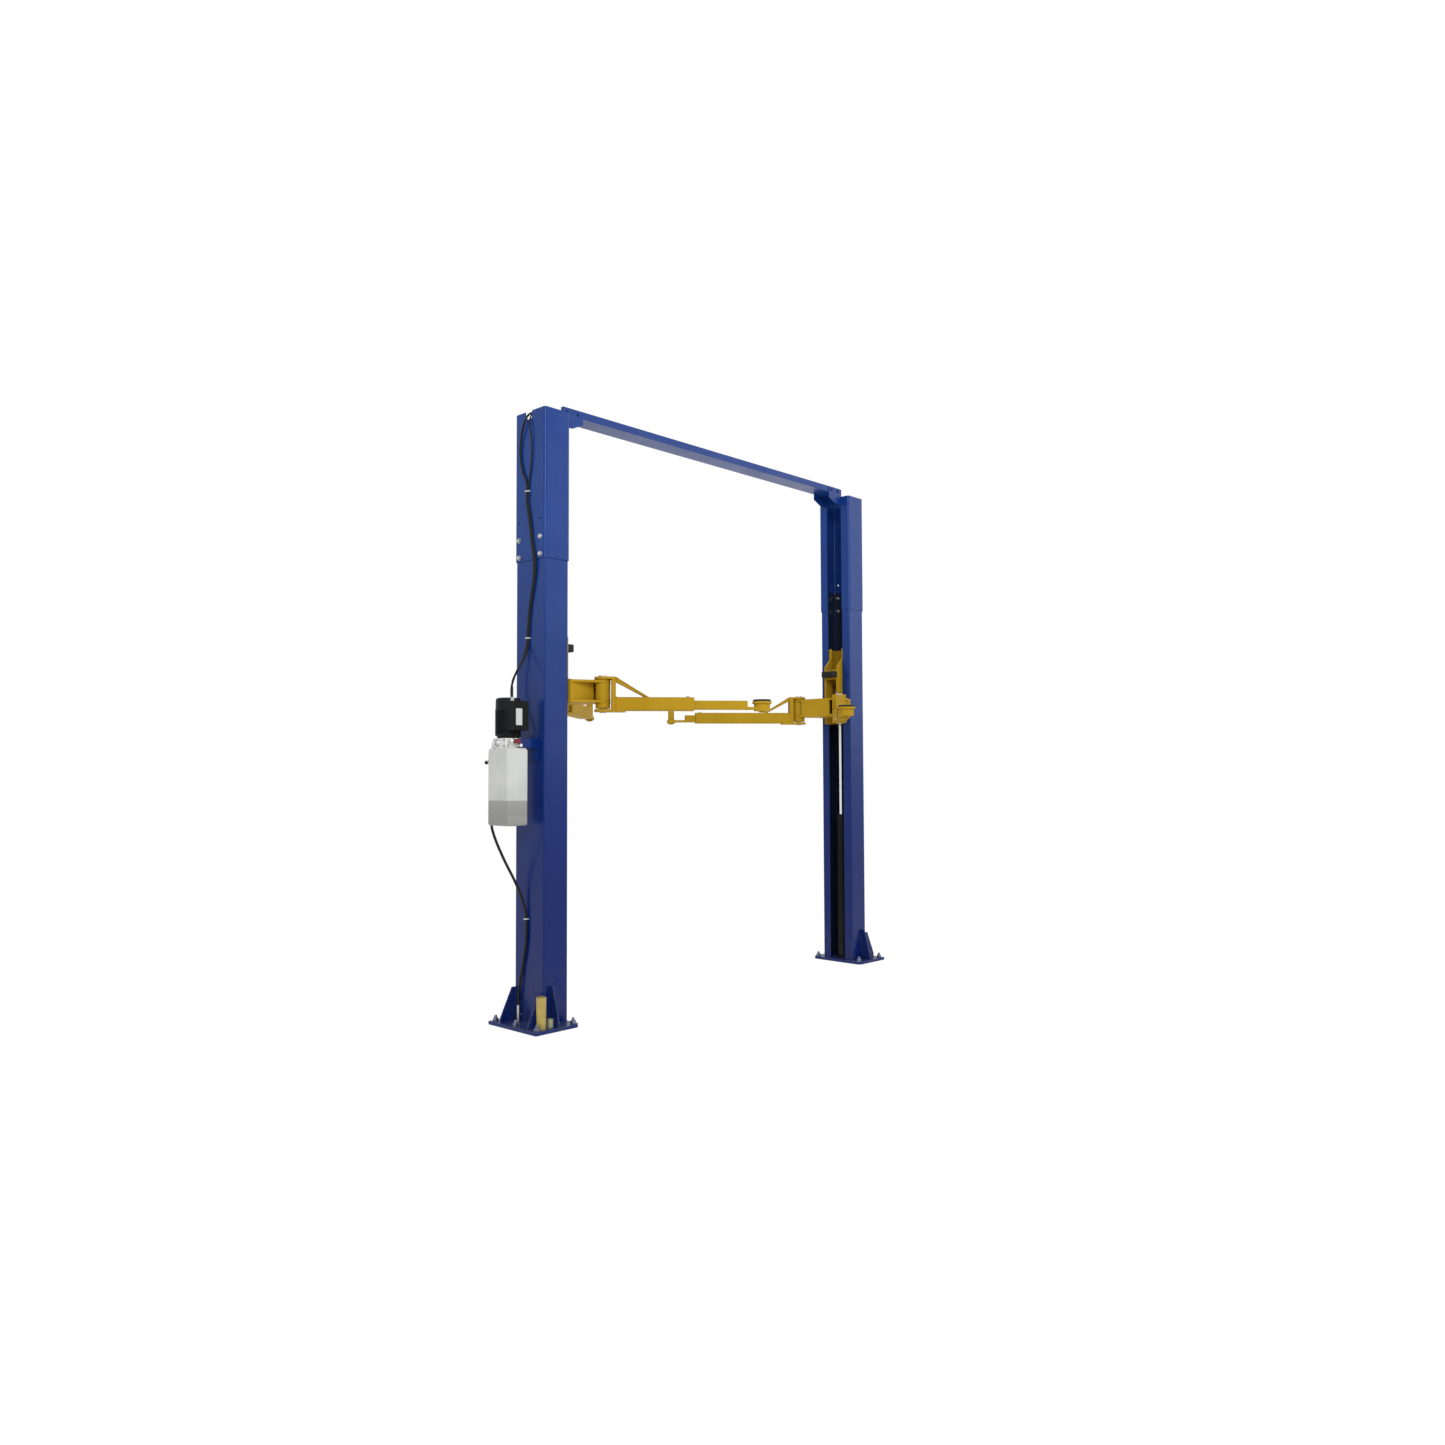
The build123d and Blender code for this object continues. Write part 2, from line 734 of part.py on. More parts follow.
# Arm: two ears round the boss, a post, the outer tube and a diagonal strap
for end, tube_end in (("front", front_tube_end), ("rear", rear_tube_end)):
    with BuildPart() as arm:
        with BuildSketch(arm_level(arm_floor - lower_ear)):
            Circle(ear_radius)
            with Locations((arm_tube_start + arm_ear_lap, 0)):
                Rectangle(arm_ear_lap, arm_width, align=(Align.MAX, Align.CENTER))
            make_hull()
        extrude(amount=lower_ear)
        with BuildSketch(arm_level(upper_ear_foot)):
            Circle(ear_radius)
            with Locations((arm_tube_start, 0)):
                Rectangle(arm_tube_start - arm_post_start, arm_width, align=(Align.MAX, Align.CENTER))
            make_hull()
        extrude(amount=upper_ear)
        with BuildSketch(arm_level(arm_floor)):
            with Locations((arm_tube_start, 0)):
                Rectangle(arm_tube_start - arm_post_start, arm_width, align=(Align.MAX, Align.CENTER))
        extrude(amount=upper_ear_foot - arm_floor)
        with BuildSketch(arm_section((arm_tube_foot + arm_tube_top) / 2, arm_tube_start)):
            inside_width = arm_width - 2 * arm_tube_wall
            inside_height = arm_tube_height - 2 * arm_tube_wall
            RectangleRounded(arm_width, arm_tube_height, arm_tube_bend)
            RectangleRounded(inside_width, inside_height, arm_tube_bend - arm_tube_wall, mode=Mode.SUBTRACT)
        extrude(amount=tube_end - arm_tube_start)
        along = arm_level(0)
        with BuildSketch(Plane(origin=along.origin, x_dir=along.x_dir, z_dir=-along.y_dir)):
            with BuildLine():
                Polyline(
                    (arm_post_start, upper_ear_top),
                    (arm_tube_start, upper_ear_top),
                    (strap_end, arm_tube_top),
                    (strap_end - strap_thickness, arm_tube_top - arm_tube_wall / 2),
                    (arm_post_start, upper_ear_top - strap_thickness),
                    close=True,
                )
            make_face()
        extrude(amount=strap_width / 2, both=True)
        with BuildSketch(arm_level(arm_floor - lower_ear)):
            Circle(pin_radius + pin_clearance)
        extrude(amount=upper_ear_top - arm_floor + lower_ear, mode=Mode.SUBTRACT)
    write_arm_pair(arm.part, end, "arm")

# Arm extensions and pads, which differ between the two ends
front_kind = ("front", front_inner_start, front_inner_end, front_pad_reach)
rear_kind = ("rear", rear_inner_start, rear_inner_end, rear_pad_reach)
front_socket = (front_socket_radius, front_socket_height, 0)
rear_socket = (rear_socket_radius, rear_socket_height, rear_adapter_height)
for kind, socket in ((front_kind, front_socket), (rear_kind, rear_socket)):
    end, inner_start, inner_end, pad_reach = kind
    socket_radius, socket_height, adapter_height = socket
    socket_top = arm_tube_foot + socket_height
    inner_foot = arm_floor + slide_gap

    # Inner tube, a flat tongue and the socket for the pad's stem
    with BuildPart() as arm_extension:
        with BuildSketch(arm_section(inner_foot + extension_height / 2, inner_start)):
            RectangleRounded(extension_width, extension_height, extension_bend)
            Rectangle(extension_width - 2 * extension_wall, extension_height - 2 * extension_wall, mode=Mode.SUBTRACT)
        extrude(amount=inner_end - inner_start)
        with BuildSketch(arm_level(arm_tube_foot)):
            with Locations((pad_reach, 0)):
                Circle(socket_radius)
        extrude(amount=socket_height)
        with BuildSketch(arm_level(inner_foot)):
            with Locations((pad_reach, 0)):
                tongue_length = pad_reach - inner_end + tongue_lap
                tongue_width = extension_width - 2 * extension_bend
                Rectangle(tongue_length, min(tongue_width, 2 * socket_radius), align=(Align.MAX, Align.CENTER))
        extrude(amount=tip_thickness)
        with BuildSketch(arm_level(arm_tube_foot)):
            with Locations((pad_reach, 0)):
                Circle(stem_radius + stem_clearance)
        extrude(amount=socket_height + tip_thickness, mode=Mode.SUBTRACT)
    write_arm_pair(arm_extension.part, end, "arm_extension")

    # Pad carrier: stem in the socket, adapter where there is one, and cup
    cup_foot = socket_top + seat_gap + adapter_height
    with BuildPart() as pad_post:
        with BuildSketch(arm_level(arm_tube_foot - stem_drop)):
            with Locations((pad_reach, 0)):
                Circle(stem_radius)
        extrude(amount=cup_foot - arm_tube_foot + stem_drop)
        if adapter_height > 0:
            with BuildSketch(arm_level(socket_top + seat_gap)):
                with Locations((pad_reach, 0)):
                    Circle(adapter_radius)
            extrude(amount=adapter_height)
        with BuildSketch(arm_level(cup_foot)):
            with Locations((pad_reach, 0)):
                Circle(cup_radius)
        extrude(amount=cup_floor + cup_rim_height)
        with BuildSketch(arm_level(cup_foot + cup_floor)):
            with Locations((pad_reach, 0)):
                Circle(cup_radius - cup_rim)
        extrude(amount=cup_rim_height, mode=Mode.SUBTRACT)
    write_arm_pair(pad_post.part, end, "pad_post")

    # Rubber pad in the cup
    with BuildPart() as rubber_pad:
        with BuildSketch(arm_level(cup_foot + cup_floor)):
            with Locations((pad_reach, 0)):
                Circle(cup_radius - cup_rim - pad_clearance)
        extrude(amount=pad_height)
        chamfer(faces().sort_by(Axis.Z)[-1].edges(), pad_chamfer)
    write_arm_pair(rubber_pad.part, end, "rubber_pad")

# Bracket that holds the power unit on the left column's web
with BuildPart() as unit_bracket:
    with BuildSketch(Plane.YZ.offset(-web_x)):
        with Locations((0, block_top + unit_bracket_rise)):
            Rectangle(unit_bracket_width, unit_bracket_height, align=(Align.CENTER, Align.MAX))
    extrude(amount=-unit_bracket_plate)
    for side in (-1, 1):
        with BuildSketch(Plane.XY.offset(block_foot + seat_gap)):
            with Locations((-web_x, side * (block_length / 2 + seat_gap))):
                Rectangle(
                    unit_stand_off - block_depth / 2 + unit_bracket_overlap,
                    unit_bracket_plate,
                    align=(Align.MAX, Align.MIN if side > 0 else Align.MAX),
                )
        extrude(amount=block_height - 2 * seat_gap)
write(unit_bracket.part, "unit_bracket")

# Valve block, with a valve, two spouts and the ears of the lowering lever
with BuildPart() as valve_block:
    with BuildSketch(Plane.XY.offset(block_foot)):
        with Locations((unit_x, 0)):
            Rectangle(block_depth, block_length)
    extrude(amount=block_height)
    chamfer(edges().filter_by(Axis.Z), block_chamfer)
    for radius, reach in ((valve_radius, valve_reach), (valve_knob_radius, valve_reach + valve_knob_reach)):
        with BuildSketch(Plane.YZ.offset(unit_x - block_depth / 2)):
            with Locations((valve_offset, block_foot + block_height / 2)):
                Circle(radius)
        extrude(amount=-reach)
    for radius, reach, offset, drop in (
        (spout_radius, spout_reach, 0, spout_radius),
        (plug_radius, plug_reach, plug_offset, plug_drop),
    ):
        with BuildSketch(Plane.XZ.offset(block_length / 2)):
            with Locations((unit_x + offset, block_top - drop)):
                Circle(radius)
        extrude(amount=reach)
    for side in (-1, 1):
        with BuildSketch(Plane.YZ.offset(unit_x + side * (lever_hub_width / 2 + seat_gap))):
            with BuildLine():
                Polyline(
                    (block_length / 2 - 1, lever_pivot_z - lever_hub_radius),
                    (lever_pivot_y + lever_hub_radius, lever_pivot_z - lever_hub_radius),
                    (lever_pivot_y + lever_hub_radius, lever_pivot_z + lever_hub_radius),
                    (block_length / 2 - 1, lever_pivot_z + 2 * lever_hub_radius),
                    close=True,
                )
            make_face()
        extrude(amount=side * lever_ear)
    with BuildSketch(Plane.YZ.offset(unit_x)):
        with Locations((lever_pivot_y, lever_pivot_z)):
            Circle(lever_pin_radius)
    extrude(amount=lever_hub_width / 2 + seat_gap + lever_ear, both=True)
write(valve_block.part, "valve_block")

# Filler cap on the upper spout
with BuildPart() as filler_cap:
    with BuildSketch(Plane.XZ.offset(block_length / 2 + spout_reach)):
        with Locations((unit_x, block_top - spout_radius)):
            Circle(cap_radius)
    extrude(amount=cap_reach)
    chamfer(faces().sort_by(Axis.Y)[0].edges(), 2 * seat_gap)
write(filler_cap.part, "filler_cap")

# Lowering lever: hub on its pin, rod and ball knob
with BuildPart() as lowering_lever:
    lever_run = Vector(0, lever_knob_reach, -lever_knob_drop)
    with BuildSketch(Plane.YZ.offset(unit_x)):
        with Locations((lever_pivot_y, lever_pivot_z)):
            Circle(lever_hub_radius)
    extrude(amount=lever_hub_width / 2, both=True)
    with BuildSketch(Plane(origin=(unit_x, lever_pivot_y, lever_pivot_z), x_dir=(1, 0, 0), z_dir=lever_run)):
        Circle(lever_rod_radius)
    extrude(amount=lever_run.length)
    with Locations((unit_x, lever_pivot_y + lever_knob_reach, lever_pivot_z - lever_knob_drop)):
        Sphere(lever_knob_radius)
    with BuildSketch(Plane.YZ.offset(unit_x)):
        with Locations((lever_pivot_y, lever_pivot_z)):
            Circle(lever_pin_radius + pin_clearance)
    extrude(amount=lever_hub_width, both=True, mode=Mode.SUBTRACT)
write(lowering_lever.part, "lowering_lever")

# Motor, a turned housing with a flange, a finned body and a domed, slotted fan cover
with BuildPart() as motor:
    body_edge = unit_x + motor_radius
    fin_root = body_edge - motor_fin_depth
    fin_foot = block_top + motor_shoulder_height + motor_fin_lap
    fin_top = block_top + motor_body_height - motor_fin_lap
    cover_edge = body_edge - motor_cover_inset
    with BuildSketch(Plane.XZ):
        with BuildLine():
            Polyline(
                (unit_x, block_top),
                (body_edge - motor_flange_inset, block_top),
                (body_edge - motor_flange_inset, block_top + motor_flange_height),
                (body_edge, block_top + motor_shoulder_height),
                (body_edge, fin_foot),
                (fin_root, fin_foot),
                (fin_root, fin_top),
                (body_edge, fin_top),
                (body_edge, block_top + motor_body_height),
                (cover_edge, block_top + motor_body_height + motor_cover_inset),
                (cover_edge, block_top + motor_height - motor_dome),
                (cover_edge - motor_dome, block_top + motor_height),
                (unit_x, block_top + motor_height),
                close=True,
            )
        make_face()
    revolve(axis=Axis((unit_x, 0, 0), (0, 0, 1)))
    with BuildSketch(Plane.XY.offset(fin_foot)):
        with Locations((unit_x, 0)):
            Circle(motor_radius - seat_gap / 2)
            Circle(motor_radius - motor_fin_depth - seat_gap, mode=Mode.SUBTRACT)
            with PolarLocations(motor_radius, motor_fins):
                gap_width = 2 * math.pi * motor_radius / motor_fins - motor_fin_thickness
                Rectangle(2 * motor_fin_depth, gap_width, mode=Mode.SUBTRACT)
    extrude(amount=fin_top - fin_foot)
    with BuildSketch(Plane.XY.offset(block_top + motor_height)):
        with Locations((unit_x, 0)):
            with PolarLocations(cowl_slot_reach, cowl_slots):
                SlotOverall(cowl_slot_length, cowl_slot_width)
    extrude(amount=-cowl_slot_depth, mode=Mode.SUBTRACT)
write(motor.part, "motor")

# Switch box, saddled on the motor's side, with a cable gland on top
with BuildPart() as switch_box:
    box_foot = block_top + switch_box_rise
    with BuildSketch(Plane.XY.offset(box_foot)):
        with Locations((unit_x, -switch_box_face)):
            Rectangle(switch_box_length, switch_box_face - switch_box_back, align=(Align.CENTER, Align.MIN))
    extrude(amount=switch_box_height)
    fillet(edges().filter_by(Axis.Z).group_by(Axis.Y)[0], switch_box_corner)
    gland_place = (
        unit_x - switch_box_length / 2 + cable_gland_inset[0],
        -switch_box_face + cable_gland_inset[1],
    )
    with BuildSketch(Plane.XY.offset(box_foot + switch_box_height)):
        with Locations(gland_place):
            Circle(cable_gland_radius)
    extrude(amount=cable_gland_height)
    with BuildSketch(Plane.XY.offset(box_foot)):
        with Locations((unit_x, 0)):
            Circle(motor_radius + seat_gap)
    extrude(amount=switch_box_height, mode=Mode.SUBTRACT)
write(switch_box.part, "switch_box")

# Oil tank, a blow-moulded shell with a small shoulder and an open neck
with BuildPart() as oil_tank:
    tank_top = block_foot - seat_gap
    tank_foot = tank_top - tank_height
    with BuildSketch(Plane.XY.offset(tank_foot)):
        with Locations((unit_x, 0)):
            RectangleRounded(tank_depth, tank_length, tank_corner)
    extrude(amount=tank_height - tank_shoulder)
    fillet(faces().sort_by(Axis.Z)[0].edges(), tank_foot_radius)
    with BuildSketch(Plane.XY.offset(tank_top - tank_shoulder)):
        with Locations((unit_x, 0)):
            RectangleRounded(tank_depth, tank_length, tank_corner)
    with BuildSketch(Plane.XY.offset(tank_top)):
        with Locations((unit_x, 0)):
            RectangleRounded(tank_depth - 2 * tank_draw, tank_length - 2 * tank_draw, tank_corner - tank_draw)
    loft()
    with BuildSketch(Plane.XY.offset(tank_foot + tank_wall)):
        with Locations((unit_x, 0)):
            RectangleRounded(tank_depth - 2 * tank_wall, tank_length - 2 * tank_wall, tank_corner - tank_wall)
    extrude(amount=tank_height - tank_shoulder - tank_wall, mode=Mode.SUBTRACT)
    with BuildSketch(Plane.XY.offset(tank_top - tank_shoulder)):
        with Locations((unit_x, 0)):
            Circle(tank_neck)
    extrude(amount=tank_shoulder, mode=Mode.SUBTRACT)
write(oil_tank.part, "oil_tank")

# Height adapters, kept on the left base plate
with BuildPart() as height_adapters:
    for inset, radius, height in (
        (tall_adapter_inset, tall_adapter_radius, tall_adapter_height),
        (short_adapter_inset, short_adapter_radius, short_adapter_height),
    ):
        with BuildSketch(Plane.XY.offset(plate_thickness)):
            with Locations((inset - plate_edge, adapter_row)):
                Circle(radius)
        extrude(amount=height)
        with BuildSketch(Plane.XY.offset(plate_thickness + adapter_wall)):
            with Locations((inset - plate_edge, adapter_row)):
                Circle(radius - adapter_wall)
        extrude(amount=height, mode=Mode.SUBTRACT)
write(height_adapters.part, "height_adapters")

# Routes of the lines, each point given by its reach past the web, its offset and its
# level. The two left lines leave the beam through the notch, are tied twice on the web
# and run down to the power unit.
union_reach = beam_half - union_inset
union_end = union_reach + union_length
gland_reach = -gland_place[0] - web_x
hose_route = from_web(-1, (
    (union_end - web_x, line_offset, line_level),
    (-164, line_offset, line_level),
    (-74, 23, line_level - 5),
    (-6, 29, 3656),
    (22, 34, 3602),
    (20, 58, 3552),
    (16, 78, 3498),
    (15, 85, 3435),
    (14, 78, 3362),
    (14, 55, 3290),
    (14, 15, 3230),
    (14, 20, 3122),
    (14, 5, 3050),
    (14, -15, 2965),
    (14, -27, 2870),
    (14, -53, 2765),
    (9, -49, 2665),
    (8, -29, 2580),
    (8, -7, 2495),
    (8, 6, 2410),
    (8, 14, 2335),
    (8, 19, 2250),
    (16, 28, 2200),
    (29, 56, 2136),
    (44, 92, 2072),
    (56, 110, 2005),
    (58, 104, 1935),
    (57, 84, 1865),
    (56, 50, 1800),
    (56, 25, 1750),
    (56, 25, 1700),
))
cable_route = from_web(-1, (
    (-254, -28, line_level + 5),
    (-164, -28, line_level + 5),
    (-74, -18, line_level - 3),
    (-8, -7, 3655),
    (19, -8, 3604),
    (18, -21, 3541),
    (14, -30, 3449),
    (13, -24, 3345),
    (12, 1, 3232),
    (12, 7, 3120),
    (12, -8, 3050),
    (12, -28, 2965),
    (12, -40, 2870),
    (12, -66, 2765),
    (7, -62, 2665),
    (6, -42, 2580),
    (6, -20, 2495),
    (6, -7, 2410),
    (6, 1, 2335),
    (6, 6, 2250),
    (22, 2, 2205),
    (64, 0, 2133),
    (120, -15, 2070),
    (165, -45, 2018),
    (gland_reach, gland_place[1], 1982),
    (gland_reach, gland_place[1], block_top + switch_box_rise + switch_box_height + cable_gland_height),
))
lower_route = from_web(-1, (
    (181, 114, 1622),
    (181, 114, 1500),
    (183, 118, 1370),
    (185, 121, 1270),
    (185, 124, 1179),
    (171, 108, 1109),
    (144, 96, 1037),
    (101, 92, 953),
    (56, 76, 863),
    (27, 46, 768),
    (10, 20, 672),
    (10, 12, 584),
    (10, 18, 480),
    (10, 40, 385),
    (11, 61, 294),
    (base_fitting_reach, base_fitting_offset, 205),
    (base_fitting_reach, base_fitting_offset, plate_thickness + base_fitting_height),
))
far_route = from_web(1, (
    (union_end - web_x, line_offset, line_level),
    (-164, line_offset, line_level),
    (-74, 23, line_level - 5),
    (-6, 29, 3656),
    (22, 31, 3602),
    (19, 26, 3530),
    (16, 18, 3430),
    (14, 13, 3325),
    (14, 14, 3235),
    (14, 18, 3125),
    (14, 26, 2990),
    (14, 30, 2860),
    (14, 28, 2745),
    (8, 22, 2640),
    (8, 13, 2520),
    (8, 8, 2420),
    (8, 6, 2335),
    (8, 7, 2250),
    (8, 11, 2110),
    (8, 18, 1960),
    (8, 22, 1800),
    (8, 20, 1640),
    (8, 13, 1490),
    (8, 10, 1380),
    (8, 12, 1230),
    (8, 19, 1080),
    (8, 23, 930),
    (8, 20, 790),
    (8, 13, 680),
    (8, 11, 580),
    (8, 18, 470),
    (9, 40, 375),
    (10, 61, 285),
    (base_fitting_reach, base_fitting_offset, 200),
    (base_fitting_reach, base_fitting_offset, plate_thickness + base_fitting_height),
))

# Hydraulic hoses: over the top to the beam, down to the near foot, and down the far web
with BuildPart() as hydraulic_hoses:
    line_tube(hose_route, hose_radius)
    line_tube(lower_route, lower_hose_radius)
    line_tube(far_route, hose_radius)
write(hydraulic_hoses.part, "hydraulic_hoses")

# Control cable from the switch box up to the box in the beam
with BuildPart() as control_cable:
    line_tube(cable_route, cable_radius)
write(control_cable.part, "control_cable")

# Cable box on the beam's floor
with BuildPart() as cable_box:
    with BuildSketch(Plane.XY.offset(beam_underside + beam_wall + seat_gap)):
        with Locations((cable_route[0][0], cable_route[0][1])):
            Rectangle(cable_box_length, cable_box_width, align=(Align.MIN, Align.CENTER))
    extrude(amount=cable_box_height)
write(cable_box.part, "cable_box")

# Steel line along the beam, between the two unions
with BuildPart() as steel_line:
    with BuildSketch(Plane.YZ.offset(-union_reach)):
        with Locations((line_offset, line_level)):
            Circle(steel_line_radius)
    extrude(amount=2 * union_reach)
write(steel_line.part, "steel_line")

# Fittings: unions in the beam, elbows at the base plates and ports of the valve block
with BuildPart() as line_fittings:
    with BuildSketch(Plane.YZ.offset(union_reach)):
        with Locations((line_offset, line_level)):
            Circle(union_radius)
    extrude(amount=union_length)
    with BuildSketch(Plane.XY.offset(plate_thickness + seat_gap)):
        with Locations((far_route[-1][0], base_fitting_offset)):
            Circle(base_fitting_radius)
    extrude(amount=base_fitting_height - seat_gap)
    with BuildSketch(Plane.YZ.offset(web_x + seat_gap)):
        with Locations((base_fitting_offset, plate_thickness + base_elbow_rise)):
            Circle(base_elbow_radius)
    extrude(amount=far_route[-1][0] - web_x - seat_gap)
    mirror(about=Plane.YZ)
    back_x, back_y, back_z = hose_route[-1]
    port_z = block_foot + block_height / 2
    with BuildSketch(Plane.YZ.offset(unit_x + block_depth / 2)):
        with Locations((back_y, port_z)):
            Circle(port_radius)
    extrude(amount=back_x - unit_x - block_depth / 2)
    with BuildSketch(Plane.XY.offset(port_z)):
        with Locations((back_x, back_y)):
            Circle(port_radius)
    extrude(amount=back_z - port_z)
    side_x, side_y, side_z = lower_route[0]
    with BuildSketch(Plane.XZ.offset(-block_length / 2)):
        with Locations((side_x, port_z)):
            Circle(port_radius)
    extrude(amount=block_length / 2 - side_y)
    with BuildSketch(Plane.XY.offset(side_z)):
        with Locations((side_x, side_y)):
            Circle(port_radius)
    extrude(amount=port_z - side_z)
write(line_fittings.part, "line_fittings")

# Clips that tie the lines to the webs, each at the middle of a run
sleeve_web = web_x + sleeve_step
clip_runs = (
    (hose_route[10], hose_route[11], hose_radius, sleeve_web),
    (cable_route[8], cable_route[9], cable_radius, sleeve_web),
    (hose_route[20], hose_route[21], hose_radius, web_x),
    (cable_route[18], cable_route[19], cable_radius, web_x),
    (lower_route[10], lower_route[11], lower_hose_radius, web_x),
    (far_route[8], far_route[9], hose_radius, sleeve_web),
    (far_route[16], far_route[17], hose_radius, web_x),
    (far_route[22], far_route[23], hose_radius, web_x),
    (far_route[28], far_route[29], hose_radius, web_x),
)
with BuildPart() as hose_clips:
    for run_start, run_end, radius, web_face in clip_runs:
        to_web = -math.copysign(1, run_start[0])
        outer = -to_web * (radius + clip_wall)
        inner = to_web * (abs(run_start[0]) - web_face - seat_gap)
        run = Vector(*run_end) - Vector(*run_start)
        middle = Vector(*run_start) + run * 0.5
        with BuildSketch(Plane(origin=middle, x_dir=(1, 0, 0), z_dir=run)):
            with Locations(((outer + inner) / 2, 0)):
                Rectangle(abs(inner - outer), 2 * (radius + clip_wall))
        extrude(amount=clip_height / 2, both=True)
    for run_start, run_end, radius, web_face in clip_runs:
        run = Vector(*run_end) - Vector(*run_start)
        middle = Vector(*run_start) + run * 0.5
        with BuildSketch(Plane(origin=middle, x_dir=(1, 0, 0), z_dir=run)):
            Circle(radius + clip_clearance)
        extrude(amount=clip_height, both=True, mode=Mode.SUBTRACT)
write(hose_clips.part, "hose_clips")
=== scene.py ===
"""Two post car lift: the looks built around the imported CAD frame, in metres."""
import json
import math
import random

import bmesh
import bpy
from mathutils import Matrix, Vector


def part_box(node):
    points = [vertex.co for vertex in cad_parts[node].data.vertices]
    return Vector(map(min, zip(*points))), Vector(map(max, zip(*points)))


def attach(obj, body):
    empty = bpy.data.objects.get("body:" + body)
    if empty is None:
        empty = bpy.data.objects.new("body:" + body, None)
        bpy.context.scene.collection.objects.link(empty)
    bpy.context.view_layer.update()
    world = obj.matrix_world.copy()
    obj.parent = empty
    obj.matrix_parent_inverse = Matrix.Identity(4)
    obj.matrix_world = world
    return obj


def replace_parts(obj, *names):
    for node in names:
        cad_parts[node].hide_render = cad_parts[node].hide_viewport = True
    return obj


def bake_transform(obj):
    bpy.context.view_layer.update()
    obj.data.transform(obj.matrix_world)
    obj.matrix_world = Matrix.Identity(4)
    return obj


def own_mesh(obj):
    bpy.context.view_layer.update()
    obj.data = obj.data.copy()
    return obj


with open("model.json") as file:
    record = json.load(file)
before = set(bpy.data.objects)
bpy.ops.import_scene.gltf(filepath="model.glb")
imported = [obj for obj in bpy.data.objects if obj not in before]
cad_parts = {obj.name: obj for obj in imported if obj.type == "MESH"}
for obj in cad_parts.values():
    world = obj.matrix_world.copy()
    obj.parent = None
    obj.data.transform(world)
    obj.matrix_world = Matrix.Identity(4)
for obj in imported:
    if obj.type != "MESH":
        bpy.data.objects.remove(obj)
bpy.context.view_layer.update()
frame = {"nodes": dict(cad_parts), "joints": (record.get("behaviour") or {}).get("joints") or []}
nodes = frame["nodes"]
joint_places = {j["name"]: j.get("pos_m") for j in frame["joints"]}
rng = random.Random(7)

SIDES = (("left", -1), ("right", 1))
ENDS = (("front", -1), ("rear", 1))
UP = Vector((0, 0, 1))

# Camera, fitted to the photograph's square frame
CAMERA_PLACE = Vector((-5.6112, -5.3336, 1.5041))
CAMERA_YAW = math.radians(46.916)
CAMERA_PITCH = math.radians(2.433)
CAMERA_ROLL = math.radians(-0.2325)
CAMERA_LENS = 27.63


def add_camera():
    data = bpy.data.cameras.new("camera")
    data.lens = CAMERA_LENS
    data.sensor_width = 36
    data.clip_end = 100
    camera = bpy.data.objects.new("camera", data)
    right = Vector((math.cos(CAMERA_YAW), -math.sin(CAMERA_YAW), 0))
    forward = Vector((
        math.sin(CAMERA_YAW) * math.cos(CAMERA_PITCH),
        math.cos(CAMERA_YAW) * math.cos(CAMERA_PITCH),
        math.sin(CAMERA_PITCH),
    ))
    up = right.cross(forward)
    across = right * math.cos(CAMERA_ROLL) + up * math.sin(CAMERA_ROLL)
    upward = up * math.cos(CAMERA_ROLL) - right * math.sin(CAMERA_ROLL)
    turn = Matrix((across, upward, -forward)).transposed().to_4x4()
    camera.matrix_world = Matrix.Translation(CAMERA_PLACE) @ turn
    bpy.context.scene.collection.objects.link(camera)
    bpy.context.scene.camera = camera


add_camera()


# Materials

# Inner faces of the columns, where the shade inside the channel is painted, and the edge that a mask by place
# gets
WEB_INSIDE = 1.5812
LIP_INSIDE = 1.4090
FLANK_INSIDE = 0.1352
MASK_EDGE = 0.001

# Level of the oil in the tank, and the line between the tall and the short height adapters
OIL_LEVEL = 1.33
ADAPTER_SPLIT = -1.5895


